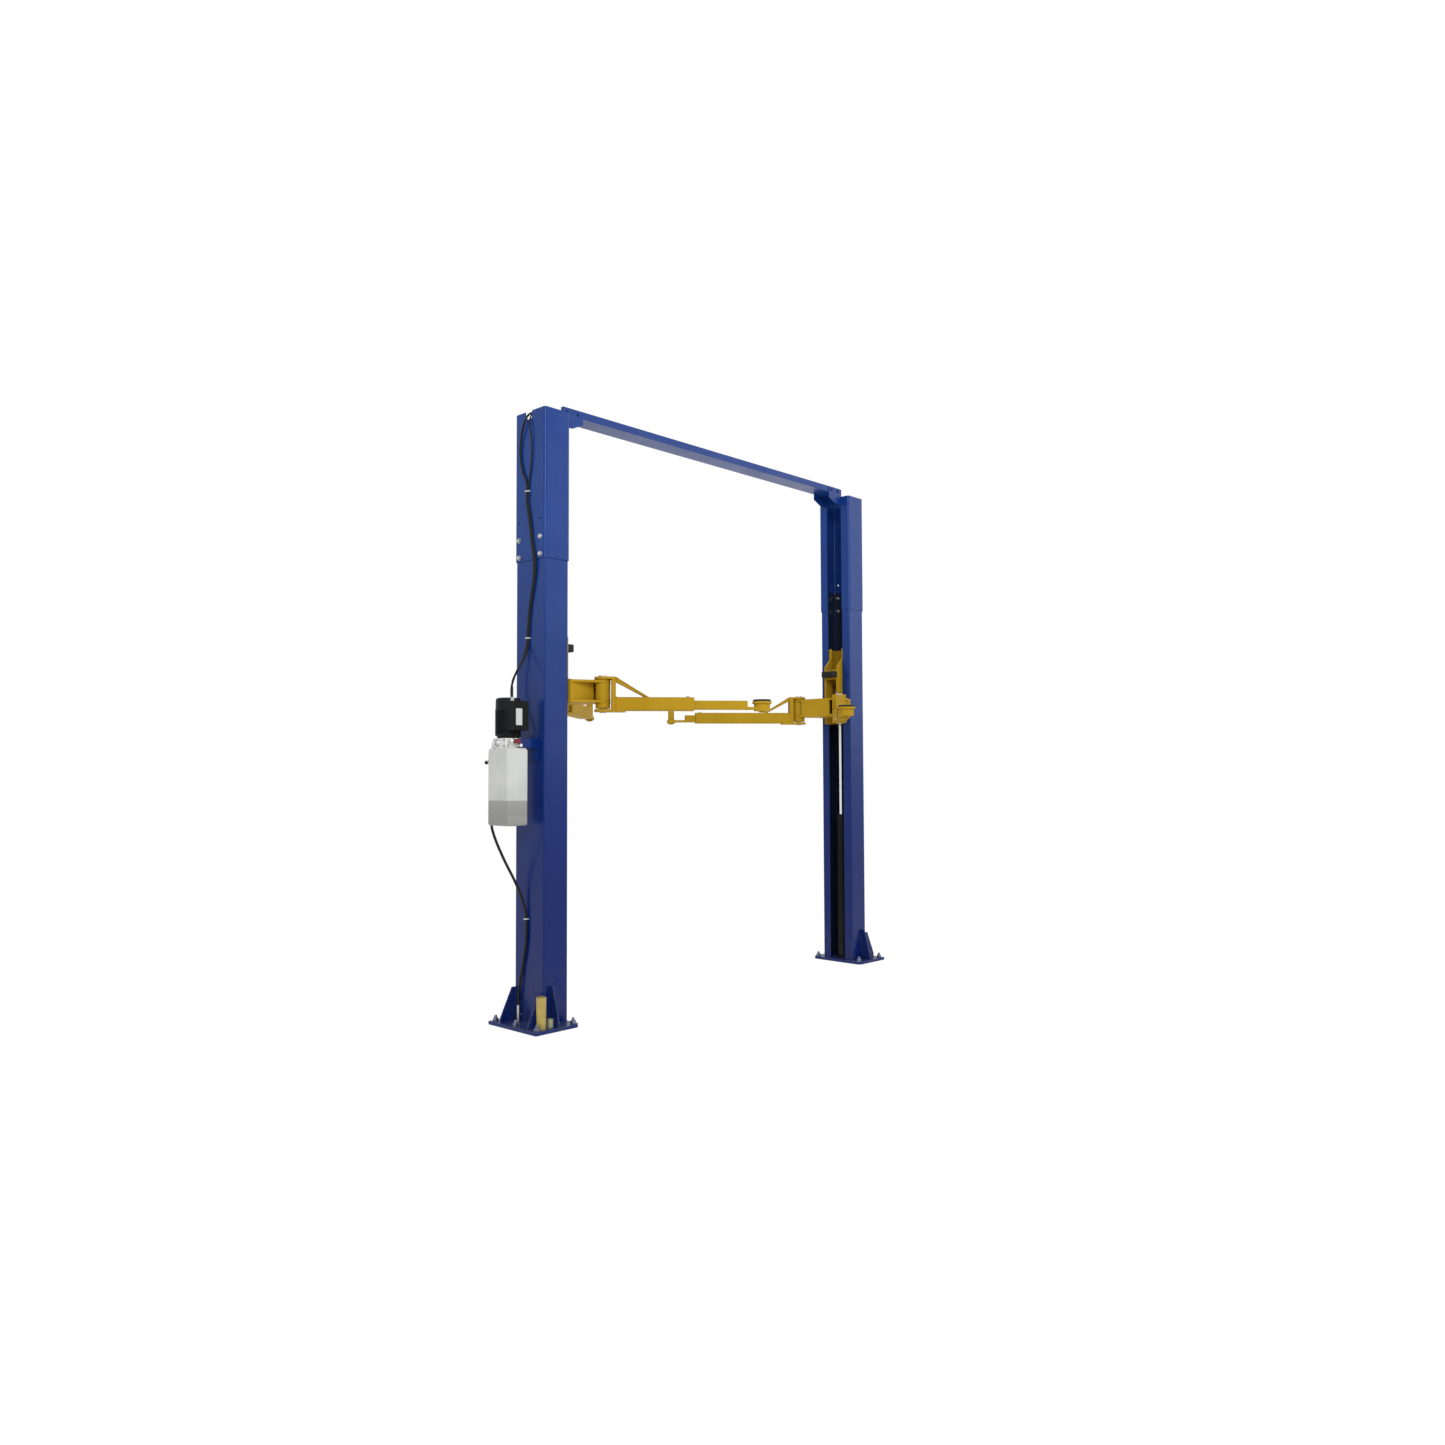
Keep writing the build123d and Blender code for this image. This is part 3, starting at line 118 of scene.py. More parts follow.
class Shader:
    """A node tree in the making, with short calls for what the materials share."""

    def __init__(self, name):
        self.material = bpy.data.materials.new(name)
        self.material.use_nodes = True
        self.tree = self.material.node_tree
        self.tree.nodes.clear()
        self.output = self.add("ShaderNodeOutputMaterial")
        self.surface = self.add("ShaderNodeBsdfPrincipled")
        self.link(self.surface.outputs[0], self.output.inputs["Surface"])
        self.place = self.add("ShaderNodeTexCoord").outputs["Object"]

    def add(self, kind, **settings):
        node = self.tree.nodes.new(kind)
        for key, value in settings.items():
            setattr(node, key, value)
        return node

    def link(self, source, target):
        self.tree.links.new(source, target)

    def feed(self, target, value):
        if isinstance(value, bpy.types.NodeSocket):
            self.link(value, target)
        else:
            target.default_value = value

    def scaled(self, scale):
        """The object's own coordinates, stretched by three factors."""
        node = self.add("ShaderNodeMapping")
        self.link(self.place, node.inputs["Vector"])
        node.inputs["Scale"].default_value = scale
        return node.outputs[0]

    def noise(self, scale, detail=3.0, rough=0.55, stretch=None):
        node = self.add("ShaderNodeTexNoise")
        self.link(self.scaled(stretch) if stretch else self.place, node.inputs["Vector"])
        node.inputs["Scale"].default_value = scale
        node.inputs["Detail"].default_value = detail
        node.inputs["Roughness"].default_value = rough
        return node.outputs["Fac"]

    def steps(self, source, low, high, to_low=0.0, to_high=1.0):
        """The source spread between two levels, and held at the ends."""
        node = self.add("ShaderNodeMapRange", clamp=True)
        self.feed(node.inputs["Value"], source)
        node.inputs["From Min"].default_value = low
        node.inputs["From Max"].default_value = high
        node.inputs["To Min"].default_value = to_low
        node.inputs["To Max"].default_value = to_high
        return node.outputs[0]

    def math(self, operation, first, second=0.0):
        node = self.add("ShaderNodeMath", operation=operation)
        self.feed(node.inputs[0], first)
        self.feed(node.inputs[1], second)
        return node.outputs[0]

    def times(self, first, second):
        return self.math("MULTIPLY", first, second)

    def mix(self, share, first, second):
        node = self.add("ShaderNodeMix", data_type="RGBA")
        self.feed(node.inputs["Factor"], share)
        self.feed(node.inputs["A"], (*first, 1) if isinstance(first, tuple) else first)
        self.feed(node.inputs["B"], (*second, 1) if isinstance(second, tuple) else second)
        return node.outputs["Result"]

    def part(self, vector, letter):
        node = self.add("ShaderNodeSeparateXYZ")
        self.link(vector, node.inputs[0])
        return node.outputs[letter]

    def normal(self):
        return self.add("ShaderNodeNewGeometry").outputs["Normal"]

    def axis(self, letter):
        """Place along one axis."""
        return self.part(self.place, letter)

    def facing(self, letter):
        """How far the surface looks along one axis."""
        return self.part(self.normal(), letter)

    def rounded(self, radius):
        """Normal with every edge rounded off."""
        node = self.add("ShaderNodeBevel", samples=4)
        node.inputs["Radius"].default_value = radius
        return node.outputs[0]

    def edges(self, radius):
        """Near 1 along worn edges, where the rounded normal departs from the real one."""
        dot = self.add("ShaderNodeVectorMath", operation="DOT_PRODUCT")
        self.link(self.rounded(radius), dot.inputs[0])
        self.link(self.normal(), dot.inputs[1])
        return self.steps(dot.outputs["Value"], 0.985, 0.80)

    def bump(self, height, strength, distance, rounding=0.0):
        node = self.add("ShaderNodeBump")
        node.inputs["Strength"].default_value = strength
        node.inputs["Distance"].default_value = distance
        self.feed(node.inputs["Height"], height)
        if rounding:
            self.link(self.rounded(rounding), node.inputs["Normal"])
        self.link(node.outputs[0], self.surface.inputs["Normal"])

    def finish(self, **values):
        for name, value in values.items():
            self.feed(self.surface.inputs[name.replace("_", " ")], value)
        return self.material


def paint(name, colour, deep, chip, gloss, wear=1.0, shine=0.2, low=None, painted_shade_levels=None, painted_channel_shade=False):
    """Sprayed enamel: orange peel, tone shifts, scuffs, chips on the edges, painted shade low down and
    painted shade in the channels.
    """
    s = Shader(name)
    body = s.mix(s.steps(s.noise(1.7, 4, 0.6), 0.35, 0.7), colour, deep)
    # Painted shade: the colour darkens to the low colour between the two levels, lower down
    if low:
        body = s.mix(s.steps(s.axis("Z"), painted_shade_levels[0], painted_shade_levels[1]), body, low)
    streak = s.noise(9.0, 4, 0.6, stretch=(1, 1, 0.12))
    body = s.mix(s.steps(streak, 0.56, 0.8, 0, 0.25), body, low or deep)
    scuff = s.times(s.steps(s.noise(38, 6, 0.7), 0.60, 0.68), s.steps(s.noise(3.1, 2), 0.50, 0.64))
    body = s.mix(s.times(scuff, 0.3 * wear), body, chip)
    edge = s.times(s.edges(0.004), s.steps(s.noise(60, 5, 0.7), 0.47, 0.58))
    edge = s.times(edge, s.steps(s.noise(6, 3), 0.44, 0.56))
    body = s.mix(s.math("MINIMUM", s.times(edge, 0.8 * wear), 1.0), body, chip)
    grime = s.times(s.steps(s.axis("Z"), 0.5, 0.0, 0, 0.4), s.steps(s.noise(14, 6, 0.7), 0.42, 0.75))
    body = s.mix(grime, body, (0.085, 0.085, 0.09))
    dust = s.times(s.steps(s.facing("Z"), 0.7, 1.0, 0.0, 0.22), s.noise(22, 4))
    body = s.mix(dust, body, (0.22, 0.22, 0.22))
    # Mostly painted shade, with some grease: the inside of the channel turned nearly black
    if painted_channel_shade:
        body = s.mix(s.times(inside_column(s), 0.84), body, (0.012, 0.014, 0.015))
    peel = s.math("ADD", s.noise(420, 2), s.times(s.noise(35, 2), 1.5))
    s.bump(peel, 0.12, 0.0006, rounding=0.0016)
    return s.finish(
        Base_Color=body, Roughness=s.steps(s.noise(5, 4), 0.3, 0.7, gloss - 0.05, gloss + 0.1),
        Specular_IOR_Level=shine, Coat_Weight=0.2 * shine, Coat_Roughness=0.15,
    )


def inside_column(s):
    """Near 1 on the faces inside the channel of either column, where painted shade and some grease darken
    them.
    """
    across = s.math("ABSOLUTE", s.axis("X"))
    before_web = s.steps(across, WEB_INSIDE + MASK_EDGE, WEB_INSIDE - MASK_EDGE)
    past_lip = s.steps(across, LIP_INSIDE - MASK_EDGE, LIP_INSIDE + MASK_EDGE)
    along = s.math("ABSOLUTE", s.axis("Y"))
    within = s.times(before_web, past_lip)
    return s.times(within, s.steps(along, FLANK_INSIDE + MASK_EDGE, FLANK_INSIDE - MASK_EDGE))


def metal(name, colour, dark, rough, grain=(1, 1, 1), grain_scale=160, oil=0.0, stain=0.4):
    """Plated, turned or rolled steel with its grain and stains."""
    s = Shader(name)
    patch = s.noise(18, 5, 0.65)
    body = s.mix(s.steps(patch, 0.4, 0.75, 0, stain), colour, dark)
    spots = s.steps(s.noise(95, 4, 0.7), 0.6, 0.72)
    body = s.mix(s.times(spots, 0.3 + 0.4 * oil), body, dark)
    fine = s.noise(grain_scale, 3, 0.6, stretch=grain)
    roughness = s.math("ADD", s.steps(patch, 0.3, 0.8, rough - 0.06, rough + 0.14), s.times(fine, 0.1))
    s.bump(fine, 0.18, 0.0004, rounding=0.0008)
    return s.finish(Base_Color=body, Roughness=roughness, Metallic=1.0)


def plastic(name, colour, pale, rough, pore, share=0.3, depth=0.15, dust=0.12, shine=0.2):
    """Moulded plastic or rubber: fine pores, mould marks and a light film of dust."""
    s = Shader(name)
    cloud = s.noise(11, 5, 0.6)
    body = s.mix(s.steps(cloud, 0.42, 0.75, 0, share), colour, pale)
    rub = s.times(s.edges(0.002), s.steps(s.noise(70, 4), 0.42, 0.6))
    body = s.mix(s.times(rub, 0.4), body, pale)
    film = s.times(s.steps(s.facing("Z"), 0.7, 1.0, 0.0, dust), s.noise(40, 4))
    body = s.mix(film, body, (0.30, 0.29, 0.28))
    s.bump(s.noise(pore, 2, 0.5), depth, 0.0005, rounding=0.001)
    roughness = s.steps(cloud, 0.3, 0.7, rough - 0.07, rough + 0.1)
    return s.finish(Base_Color=body, Roughness=roughness, Specular_IOR_Level=shine)


def tank_plastic():
    """Natural polyethylene, milky above the oil and grey below its level."""
    s = Shader("tank_plastic")
    wave = s.times(s.math("SUBTRACT", s.noise(7, 2), 0.5), 0.006)
    height = s.math("ADD", s.axis("Z"), wave)
    oil = s.steps(height, OIL_LEVEL + 0.004, OIL_LEVEL - 0.004)
    deep = s.steps(height, OIL_LEVEL, OIL_LEVEL - 0.10)
    clear = s.mix(s.steps(s.noise(6, 4), 0.35, 0.7), (0.70, 0.71, 0.69), (0.60, 0.615, 0.60))
    filled = s.mix(deep, (0.36, 0.365, 0.34), (0.30, 0.305, 0.28))
    film = s.steps(height, OIL_LEVEL + 0.12, OIL_LEVEL, 0, 0.3)
    body = s.mix(film, clear, (0.52, 0.53, 0.51))
    body = s.mix(oil, body, filled)
    smear = s.times(s.steps(s.noise(30, 6, 0.7), 0.58, 0.75), 0.15)
    body = s.mix(smear, body, (0.24, 0.24, 0.22))
    s.bump(s.noise(240, 3), 0.15, 0.0006, rounding=0.002)
    return s.finish(
        Base_Color=body, Roughness=s.steps(s.noise(9, 3), 0.3, 0.7, 0.34, 0.46),
        Subsurface_Weight=0.25, Subsurface_Radius=(0.02, 0.018, 0.014), Subsurface_Scale=0.5,
    )


def hose_rubber():
    """Wrapped hydraulic hose: a fine cloth print across it and rubbed patches."""
    s = Shader("hose_rubber")
    weave = s.add("ShaderNodeTexWave", wave_type="BANDS", bands_direction="DIAGONAL")
    s.link(s.place, weave.inputs["Vector"])
    weave.inputs["Scale"].default_value = 130
    weave.inputs["Distortion"].default_value = 1.5
    cloud = s.noise(14, 5, 0.65)
    body = s.mix(s.steps(cloud, 0.45, 0.75, 0, 0.45), (0.008, 0.009, 0.011), (0.030, 0.031, 0.034))
    s.bump(s.math("ADD", weave.outputs["Fac"], s.noise(500, 2)), 0.2, 0.0005)
    return s.finish(Base_Color=body, Roughness=s.steps(cloud, 0.3, 0.7, 0.42, 0.6), Specular_IOR_Level=0.2)


def adapter_finish():
    """Yellow zinc plate on the tall adapter, paler on the short one, rubbed to steel at the rims."""
    s = Shader("adapter_finish")
    cloud = s.noise(24, 5, 0.65)
    tall = s.mix(s.steps(cloud, 0.35, 0.7), (0.50, 0.385, 0.105), (0.40, 0.29, 0.075))
    short = s.mix(s.steps(cloud, 0.35, 0.7), (0.46, 0.47, 0.33), (0.36, 0.37, 0.26))
    past_split = s.steps(s.axis("X"), ADAPTER_SPLIT - MASK_EDGE, ADAPTER_SPLIT + MASK_EDGE)
    body = s.mix(past_split, tall, short)
    rub = s.times(s.edges(0.003), s.steps(s.noise(50, 4), 0.4, 0.55))
    body = s.mix(s.times(rub, 0.6), body, (0.62, 0.61, 0.56))
    s.bump(s.noise(300, 3), 0.15, 0.0005, rounding=0.001)
    return s.finish(Base_Color=body, Roughness=s.steps(cloud, 0.3, 0.7, 0.34, 0.5), Metallic=0.25)


BLUE = (0.007, 0.050, 0.262)
BLUE_DEEP = (0.005, 0.040, 0.220)
# The columns' blue in painted shade, reached towards their feet; also the base plates' deeper tone
BLUE_LOW_SHADED = (0.0008, 0.014, 0.135)
YELLOW = (0.53, 0.325, 0.020)
YELLOW_DEEP = (0.44, 0.255, 0.012)
BLACK = (0.007, 0.008, 0.009)
BLACK_CHIP = (0.12, 0.12, 0.12)
PALE_NYLON = (0.66, 0.67, 0.66)

MATERIALS = {
    "column_paint": paint(
        "column_paint", BLUE, BLUE_DEEP, (0.12, 0.14, 0.19), 0.24,
        # Painted shade: darker from 2.9 m down to 0.8 m, and nearly black inside the channel
        low=BLUE_LOW_SHADED, painted_shade_levels=(2.9, 0.8), painted_channel_shade=True,
    ),
    # Painted shade: the base plates take the darker blue of the columns' shaded feet
    "plate_paint": paint("plate_paint", (0.004, 0.022, 0.150), BLUE_LOW_SHADED, (0.17, 0.18, 0.20), 0.34, 1.3),
    "arm_paint": paint("arm_paint", YELLOW, YELLOW_DEEP, (0.16, 0.12, 0.07), 0.5, 0.8, 0.04),
    "cylinder_paint": paint("cylinder_paint", BLACK, (0.012, 0.012, 0.013), BLACK_CHIP, 0.4, 0.6, 0.08),
    "motor_paint": paint("motor_paint", BLACK, (0.012, 0.013, 0.014), BLACK_CHIP, 0.4, 0.35, 0.1),
    "adapter_finish": adapter_finish(),
    "bare_steel": metal("bare_steel", (0.56, 0.56, 0.55), (0.20, 0.19, 0.17), 0.30),
    "anchor_steel": metal("anchor_steel", (0.20, 0.23, 0.33), (0.06, 0.07, 0.10), 0.36, stain=0.7),
    "rod_chrome": metal(
        "rod_chrome", (0.78, 0.78, 0.79), (0.52, 0.51, 0.48), 0.10, (1, 1, 6), 120, stain=0.2,
    ),
    "chain_steel": metal("chain_steel", (0.20, 0.19, 0.18), (0.05, 0.045, 0.04), 0.34, oil=1.0, stain=0.8),
    "block_alloy": metal("block_alloy", (0.76, 0.77, 0.76), (0.36, 0.35, 0.33), 0.34, (1, 8, 1), 90),
    "lever_steel": metal("lever_steel", (0.62, 0.62, 0.62), (0.3, 0.3, 0.3), 0.18, grain_scale=200),
    "slider_plastic": plastic("slider_plastic", (0.72, 0.71, 0.65), (0.45, 0.43, 0.38), 0.42, 500),
    "rubber": plastic("rubber", (0.012, 0.012, 0.013), (0.045, 0.044, 0.043), 0.62, 700, 0.45, 0.3),
    "box_plastic": plastic(
        "box_plastic", (0.005, 0.007, 0.007), (0.018, 0.021, 0.020), 0.46, 1300, 0.25, shine=0.1,
    ),
    "cap_plastic": plastic("cap_plastic", (0.23, 0.020, 0.026), (0.33, 0.09, 0.09), 0.35, 600),
    "tie_nylon": plastic("tie_nylon", PALE_NYLON, (0.45, 0.45, 0.44), 0.4, 500),
    "plate_label": plastic("plate_label", PALE_NYLON, (0.52, 0.53, 0.52), 0.3, 300, 0.4, 0.05),
    "knob_plastic": plastic("knob_plastic", (0.006, 0.006, 0.007), (0.02, 0.02, 0.02), 0.16, 300, 0.2, 0.04),
    "tank_plastic": tank_plastic(),
    "hose_rubber": hose_rubber(),
}

NODE_SLOTS = {
    "base_gussets": "plate_paint", "beam_brackets": "column_paint", "overhead_beam": "column_paint",
    "chain_anchors": "bare_steel", "chain_fixed_strands": "chain_steel", "unit_bracket": "column_paint",
    "valve_block": "block_alloy", "motor": "motor_paint", "switch_box": "box_plastic",
    "oil_tank": "tank_plastic", "height_adapters": "adapter_finish", "hydraulic_hoses": "hose_rubber",
    "control_cable": "hose_rubber", "cable_box": "box_plastic", "steel_line": "bare_steel",
    "line_fittings": "bare_steel", "hose_clips": "tie_nylon", "filler_cap": "cap_plastic",
    "lowering_lever": "lever_steel",
}
for side, _ in SIDES:
    NODE_SLOTS.update({
        f"{side}_base_plate": "plate_paint", f"{side}_column": "column_paint",
        f"{side}_column_extension": "column_paint", f"{side}_cylinder": "cylinder_paint",
        f"{side}_carriage": "arm_paint", f"{side}_slider_blocks": "slider_plastic",
        f"{side}_door_bumper": "rubber", f"{side}_arm_pins": "bare_steel",
        f"{side}_chain_lift_strand": "chain_steel", f"{side}_ram": "rod_chrome",
        f"{side}_chain_roller": "bare_steel", f"{side}_chain_bend": "chain_steel",
    })
    for end, _ in ENDS:
        NODE_SLOTS.update({
            f"{side}_{end}_arm": "arm_paint", f"{side}_{end}_arm_extension": "arm_paint",
            f"{side}_{end}_pad_post": "arm_paint", f"{side}_{end}_rubber_pad": "rubber",
        })
for name, node in nodes.items():
    node.data.materials.clear()
    node.data.materials.append(MATERIALS[NODE_SLOTS[name]])


# Mesh helpers
SHARP = math.radians(32)
HEX_STEPS = 36
HEX_CHAMFER = 0.12
HEX_CORNERS = 1.1548
THREAD_PITCH = 0.0025
BEAD_RADIUS = 0.0035
CORNER_STEPS = 8


def piece(name, bm, body, slot, material=None):
    """A finished mesh as a piece that rides on a body and takes its finish from a slot."""
    bmesh.ops.recalc_face_normals(bm, faces=bm.faces)
    mesh = bpy.data.meshes.new(name)
    bm.to_mesh(mesh)
    bm.free()
    mesh.shade_smooth()
    mesh.set_sharp_from_angle(angle=SHARP)
    mesh.materials.append(MATERIALS[material or slot])
    obj = bpy.data.objects.new(name, mesh)
    bpy.context.scene.collection.objects.link(obj)
    if body:
        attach(obj, body)
    return obj


def frame_at(place, axis, spin=0.0):
    """Matrix with its Z along an axis, turned about it."""
    turn = Vector(axis).to_track_quat("Z", "Y").to_matrix().to_4x4()
    return Matrix.Translation(place) @ turn @ Matrix.Rotation(spin, 4, "Z")


def outer_inner(low, high, sign):
    """X of a box's outer and inner face, on the side that the sign gives."""
    return (high.x, low.x) if sign > 0 else (low.x, high.x)


def angles(count):
    """Angles of equal steps round a circle."""
    return [2 * math.pi * i / count for i in range(count)]


def polar(radius, angle, level=0.0):
    return Vector((radius * math.cos(angle), radius * math.sin(angle), level))


def loft(bm, rings, loop=False):
    """Skin between rings of equally many points, closed at both ends or joined in a loop."""
    rows = [[bm.verts.new(p) for p in ring] for ring in rings]
    count = len(rows[0])
    pairs = list(zip(rows, rows[1:]))
    if loop:
        pairs.append((rows[-1], rows[0]))
    for low, high in pairs:
        for i in range(count):
            j = (i + 1) % count
            bm.faces.new((low[i], low[j], high[j], high[i]))
    if not loop:
        bm.faces.new(rows[0][::-1])
        bm.faces.new(rows[-1])


def turned(bm, matrix, profile, steps=32, outline=None):
    """Lathe a list of (radius, height) points; outline(angle) scales the radius."""
    shares = [(angle, outline(angle) if outline else 1) for angle in angles(steps)]
    loft(bm, [
        [matrix @ polar(radius * share, angle, height) for angle, share in shares]
        for radius, height in profile
    ])


def ridges(count, depth):
    """Outline of a grip with rounded ridges, for turned."""
    return lambda angle: 1 - depth * (0.5 + 0.5 * math.cos(count * angle))


def hexagon(angle):
    """Radius of a hexagon over that of the circle in it."""
    return 1 / math.cos((angle + math.pi / 6) % (math.pi / 3) - math.pi / 6)


def hex_part(bm, matrix, flats, height):
    """Hexagon head or nut with its corners turned off at both ends."""
    edge = HEX_CHAMFER * height
    loft(bm, [
        [matrix @ polar(flats / 2 * min(hexagon(angle), limit), angle, level) for angle in angles(HEX_STEPS)]
        for level, limit in ((0, 1.0), (edge, HEX_CORNERS), (height - edge, HEX_CORNERS), (height, 1.0))
    ])


def washer(bm, matrix, radius, thickness):
    edge = thickness * 0.2
    turned(bm, matrix, (
        (radius - edge, 0), (radius, edge), (radius, thickness - edge), (radius - edge, thickness),
    ))


def threaded(bm, matrix, radius, length):
    """Stud with rolled thread rings and a chamfered tip."""
    root = radius * 0.9
    profile = [(root, 0)]
    count = int(length / THREAD_PITCH) - 1
    for i in range(count):
        foot = i * THREAD_PITCH
        profile += [(root, foot + 0.2 * THREAD_PITCH), (radius, foot + 0.6 * THREAD_PITCH)]
    profile += [(root, count * THREAD_PITCH), (root * 0.86, length)]
    turned(bm, matrix, profile, 20)


def hex_bolt(bm, place, axis, size, stick=0.0, nut=False):
    """Hexagon bolt head or nut on its washer; size is the thread's diameter."""
    matrix = frame_at(place, axis, rng.uniform(0, math.pi / 3))
    washer(bm, matrix, size * 1.1, size * 0.16)
    lift = matrix @ Matrix.Translation((0, 0, size * 0.16))
    height = size * (0.8 if nut else 0.62)
    hex_part(bm, lift, size * 1.55, height)
    if stick:
        threaded(bm, lift @ Matrix.Translation((0, 0, height * 0.8)), size / 2, stick + height * 0.2)


def bead(bm, points, radius=BEAD_RADIUS, step=0.0045):
    """Weld bead along a run of points, with the ripples of the pool."""
    line = [Vector(p) for p in points]
    places = []
    for start, end in zip(line, line[1:]):
        run = end - start
        count = max(1, round(run.length / step))
        places += [(start + run * (i / count), run.normalized()) for i in range(count)]
    places.append((line[-1], (line[-1] - line[-2]).normalized()))
    rings = []
    for number, (middle, along) in enumerate(places):
        side = along.orthogonal().normalized()
        rise = along.cross(side)
        swell = radius * (1 + 0.16 * math.sin(number * 2.1) + rng.uniform(-0.06, 0.06))
        rings.append([middle + (side * math.cos(a) + rise * math.sin(a)) * swell for a in angles(6)])
    loft(bm, rings)


def slab(bm, matrix, size, edge):
    """Block with chamfered edges, centred on the matrix, its foot at z 0."""
    x, y, z = size[0] / 2, size[1] / 2, size[2]
    rings = []
    for level, inset in ((0, edge), (edge, 0), (z - edge, 0), (z, edge)):
        a, b = x - inset, y - inset
        rings.append([
            matrix @ Vector((px, py, level))
            for px, py in ((a - edge, b), (-a + edge, b), (-a, b - edge), (-a, -b + edge),
                           (-a + edge, -b), (a - edge, -b), (a, -b + edge), (a, b - edge))
        ])
    loft(bm, rings)


def rounded_ring(centre, half_x, half_y, radius, level):
    """Points round a rectangle with round corners."""
    ring = []
    for corner, (sx, sy) in enumerate(((1, 1), (-1, 1), (-1, -1), (1, -1))):
        middle = Vector((centre[0] + sx * (half_x - radius), centre[1] + sy * (half_y - radius), level))
        for i in range(CORNER_STEPS + 1):
            ring.append(middle + polar(radius, math.pi / 2 * (corner + i / CORNER_STEPS)))
    return ring


# Fasteners and welds of the standing frame
ANCHOR_EDGE = 0.030
ANCHOR_SIZE = 0.0195
ANCHOR_REACH = 0.032
JOINT_SIZE = 0.014
JOINT_LEVELS = (2.785, 2.889)
JOINT_SPREAD = 0.103
COLUMN_WALL = 0.006
BRACKET_SIZE = 0.012
BRACKET_REACHES = (0.035, 0.115)
BRACKET_RISE = 0.021

# Gussets at the columns' feet, on the web and on both flanks, for the beads along them
WEB_GUSSET_Y = 0.128
WEB_GUSSET_REACH = 0.105
WEB_GUSSET_RISE = 0.19
FLANK_GUSSET_X = (0.0445, 0.0555)
FLANK_GUSSET_REACH = 0.08
FLANK_GUSSET_RISE = 0.215
WELD_RISE = 0.001


def anchor_bolts():
    bm = bmesh.new()
    for side, sign in SIDES:
        low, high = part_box(f"{side}_base_plate")
        outer, inner = outer_inner(low, high, sign)
        spots = [(outer - sign * ANCHOR_EDGE, 0.0)]
        for x in (outer - sign * ANCHOR_EDGE, inner + sign * ANCHOR_EDGE):
            spots += [(x, low.y + ANCHOR_EDGE), (x, high.y - ANCHOR_EDGE)]
        for x, y in spots:
            threaded(bm, frame_at((x, y, 0.002), UP), ANCHOR_SIZE / 2, high.z + 0.004)
            hex_bolt(bm, (x, y, high.z), UP, ANCHOR_SIZE, stick=ANCHOR_REACH - ANCHOR_SIZE * 0.8, nut=True)
    piece("anchor_bolts", bm, "root", "bare_steel", "anchor_steel")


def joint_bolts():
    """Bolts through the lap of each column, with their nuts inside."""
    bm = bmesh.new()
    for side, sign in SIDES:
        web, _ = outer_inner(*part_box(f"{side}_column_extension"), sign)
        inside = outer_inner(*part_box(f"{side}_column"), sign)[0] - sign * COLUMN_WALL
        for level in JOINT_LEVELS:
            for y in (-JOINT_SPREAD, JOINT_SPREAD):
                hex_bolt(bm, (web, y, level), (sign, 0, 0), JOINT_SIZE)
                hex_bolt(bm, (inside, y, level), (-sign, 0, 0), JOINT_SIZE, stick=0.004, nut=True)
    piece("joint_bolts", bm, "root", "bare_steel")


def bracket_bolts():
    """Bolts through the bracket's cheeks into the beam, painted over with both."""
    bm = bmesh.new()
    low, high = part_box("beam_brackets")
    beam_low, beam_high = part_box("overhead_beam")
    for sign in (-1, 1):
        for reach in BRACKET_REACHES:
            for y, way in ((low.y, -1), (high.y, 1)):
                place = (sign * (beam_high.x - reach), y, beam_low.z + BRACKET_RISE)
                hex_bolt(bm, place, (0, way, 0), BRACKET_SIZE)
    piece("bracket_bolts", bm, "root", "column_paint")


def frame_welds():
    bm = bmesh.new()
    for side, sign in SIDES:
        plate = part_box(f"{side}_base_plate")[1].z
        low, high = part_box(f"{side}_column")
        web, face = outer_inner(low, high, sign)
        foot = plate + WELD_RISE
        for y in (low.y, high.y):
            bead(bm, [(face + sign * 0.01, y, foot), (web - sign * 0.01, y, foot)], 0.004)
            x = web - sign * 0.004
            bead(bm, [(x, y, plate + 0.02), (x, y, plate + WEB_GUSSET_RISE)], 0.003)
        bead(bm, [(web, low.y + 0.02, foot), (web, high.y - 0.02, foot)], 0.004)
        foot = plate + 2 * WELD_RISE
        start = plate + 5 * WELD_RISE
        for y in (-WEB_GUSSET_Y, WEB_GUSSET_Y):
            bead(bm, [(web, y, foot), (web + sign * WEB_GUSSET_REACH, y, foot)])
            x = web + sign * WELD_RISE
            bead(bm, [(x, y, start), (x, y, plate + WEB_GUSSET_RISE)])
        for way, edge in ((-1, low.y), (1, high.y)):
            for reach in FLANK_GUSSET_X:
                x = web - sign * reach
                bead(bm, [(x, edge, foot), (x, edge + way * FLANK_GUSSET_REACH, foot)])
                y = edge + way * WELD_RISE
                bead(bm, [(x, y, start), (x, y, plate + FLANK_GUSSET_RISE)])
    piece("frame_welds", bm, "root", "column_paint")


anchor_bolts()
joint_bolts()
bracket_bolts()
frame_welds()


# Carriages
PIN_Y = 0.1975
BOSS_REACH = 0.0455
BOSS_WELD_LEVELS = (1.9125, 1.9275, 2.0345, 2.0495)
HEAD_BACK = 1.392
HEAD_WELD_LEVELS = (1.9135, 2.0495)
HEAD_WELD_RUN = (0.06656, 0.1456)
TONGUE_WELD_Y = 0.065
TONGUE_WELD_LEVELS = (1.915, 2.045)
BUMPER_RIBS = 6
BUMPER_RIB_DEPTH = 0.006
SLIDER_INNER = 0.1055
SLIDER_SCREW = ((0.009, 0), (0.009, 0.004), (0.0075, 0.0055), (0.004, 0.0055), (0.0035, 0.003))


def round_bead(bm, centre, radius, level):
    """Bead round a boss."""
    circle = [Vector((*centre, level)) + polar(radius, angle) for angle in angles(40)]
    bead(bm, circle + circle[:1], 0.0028, 0.004)


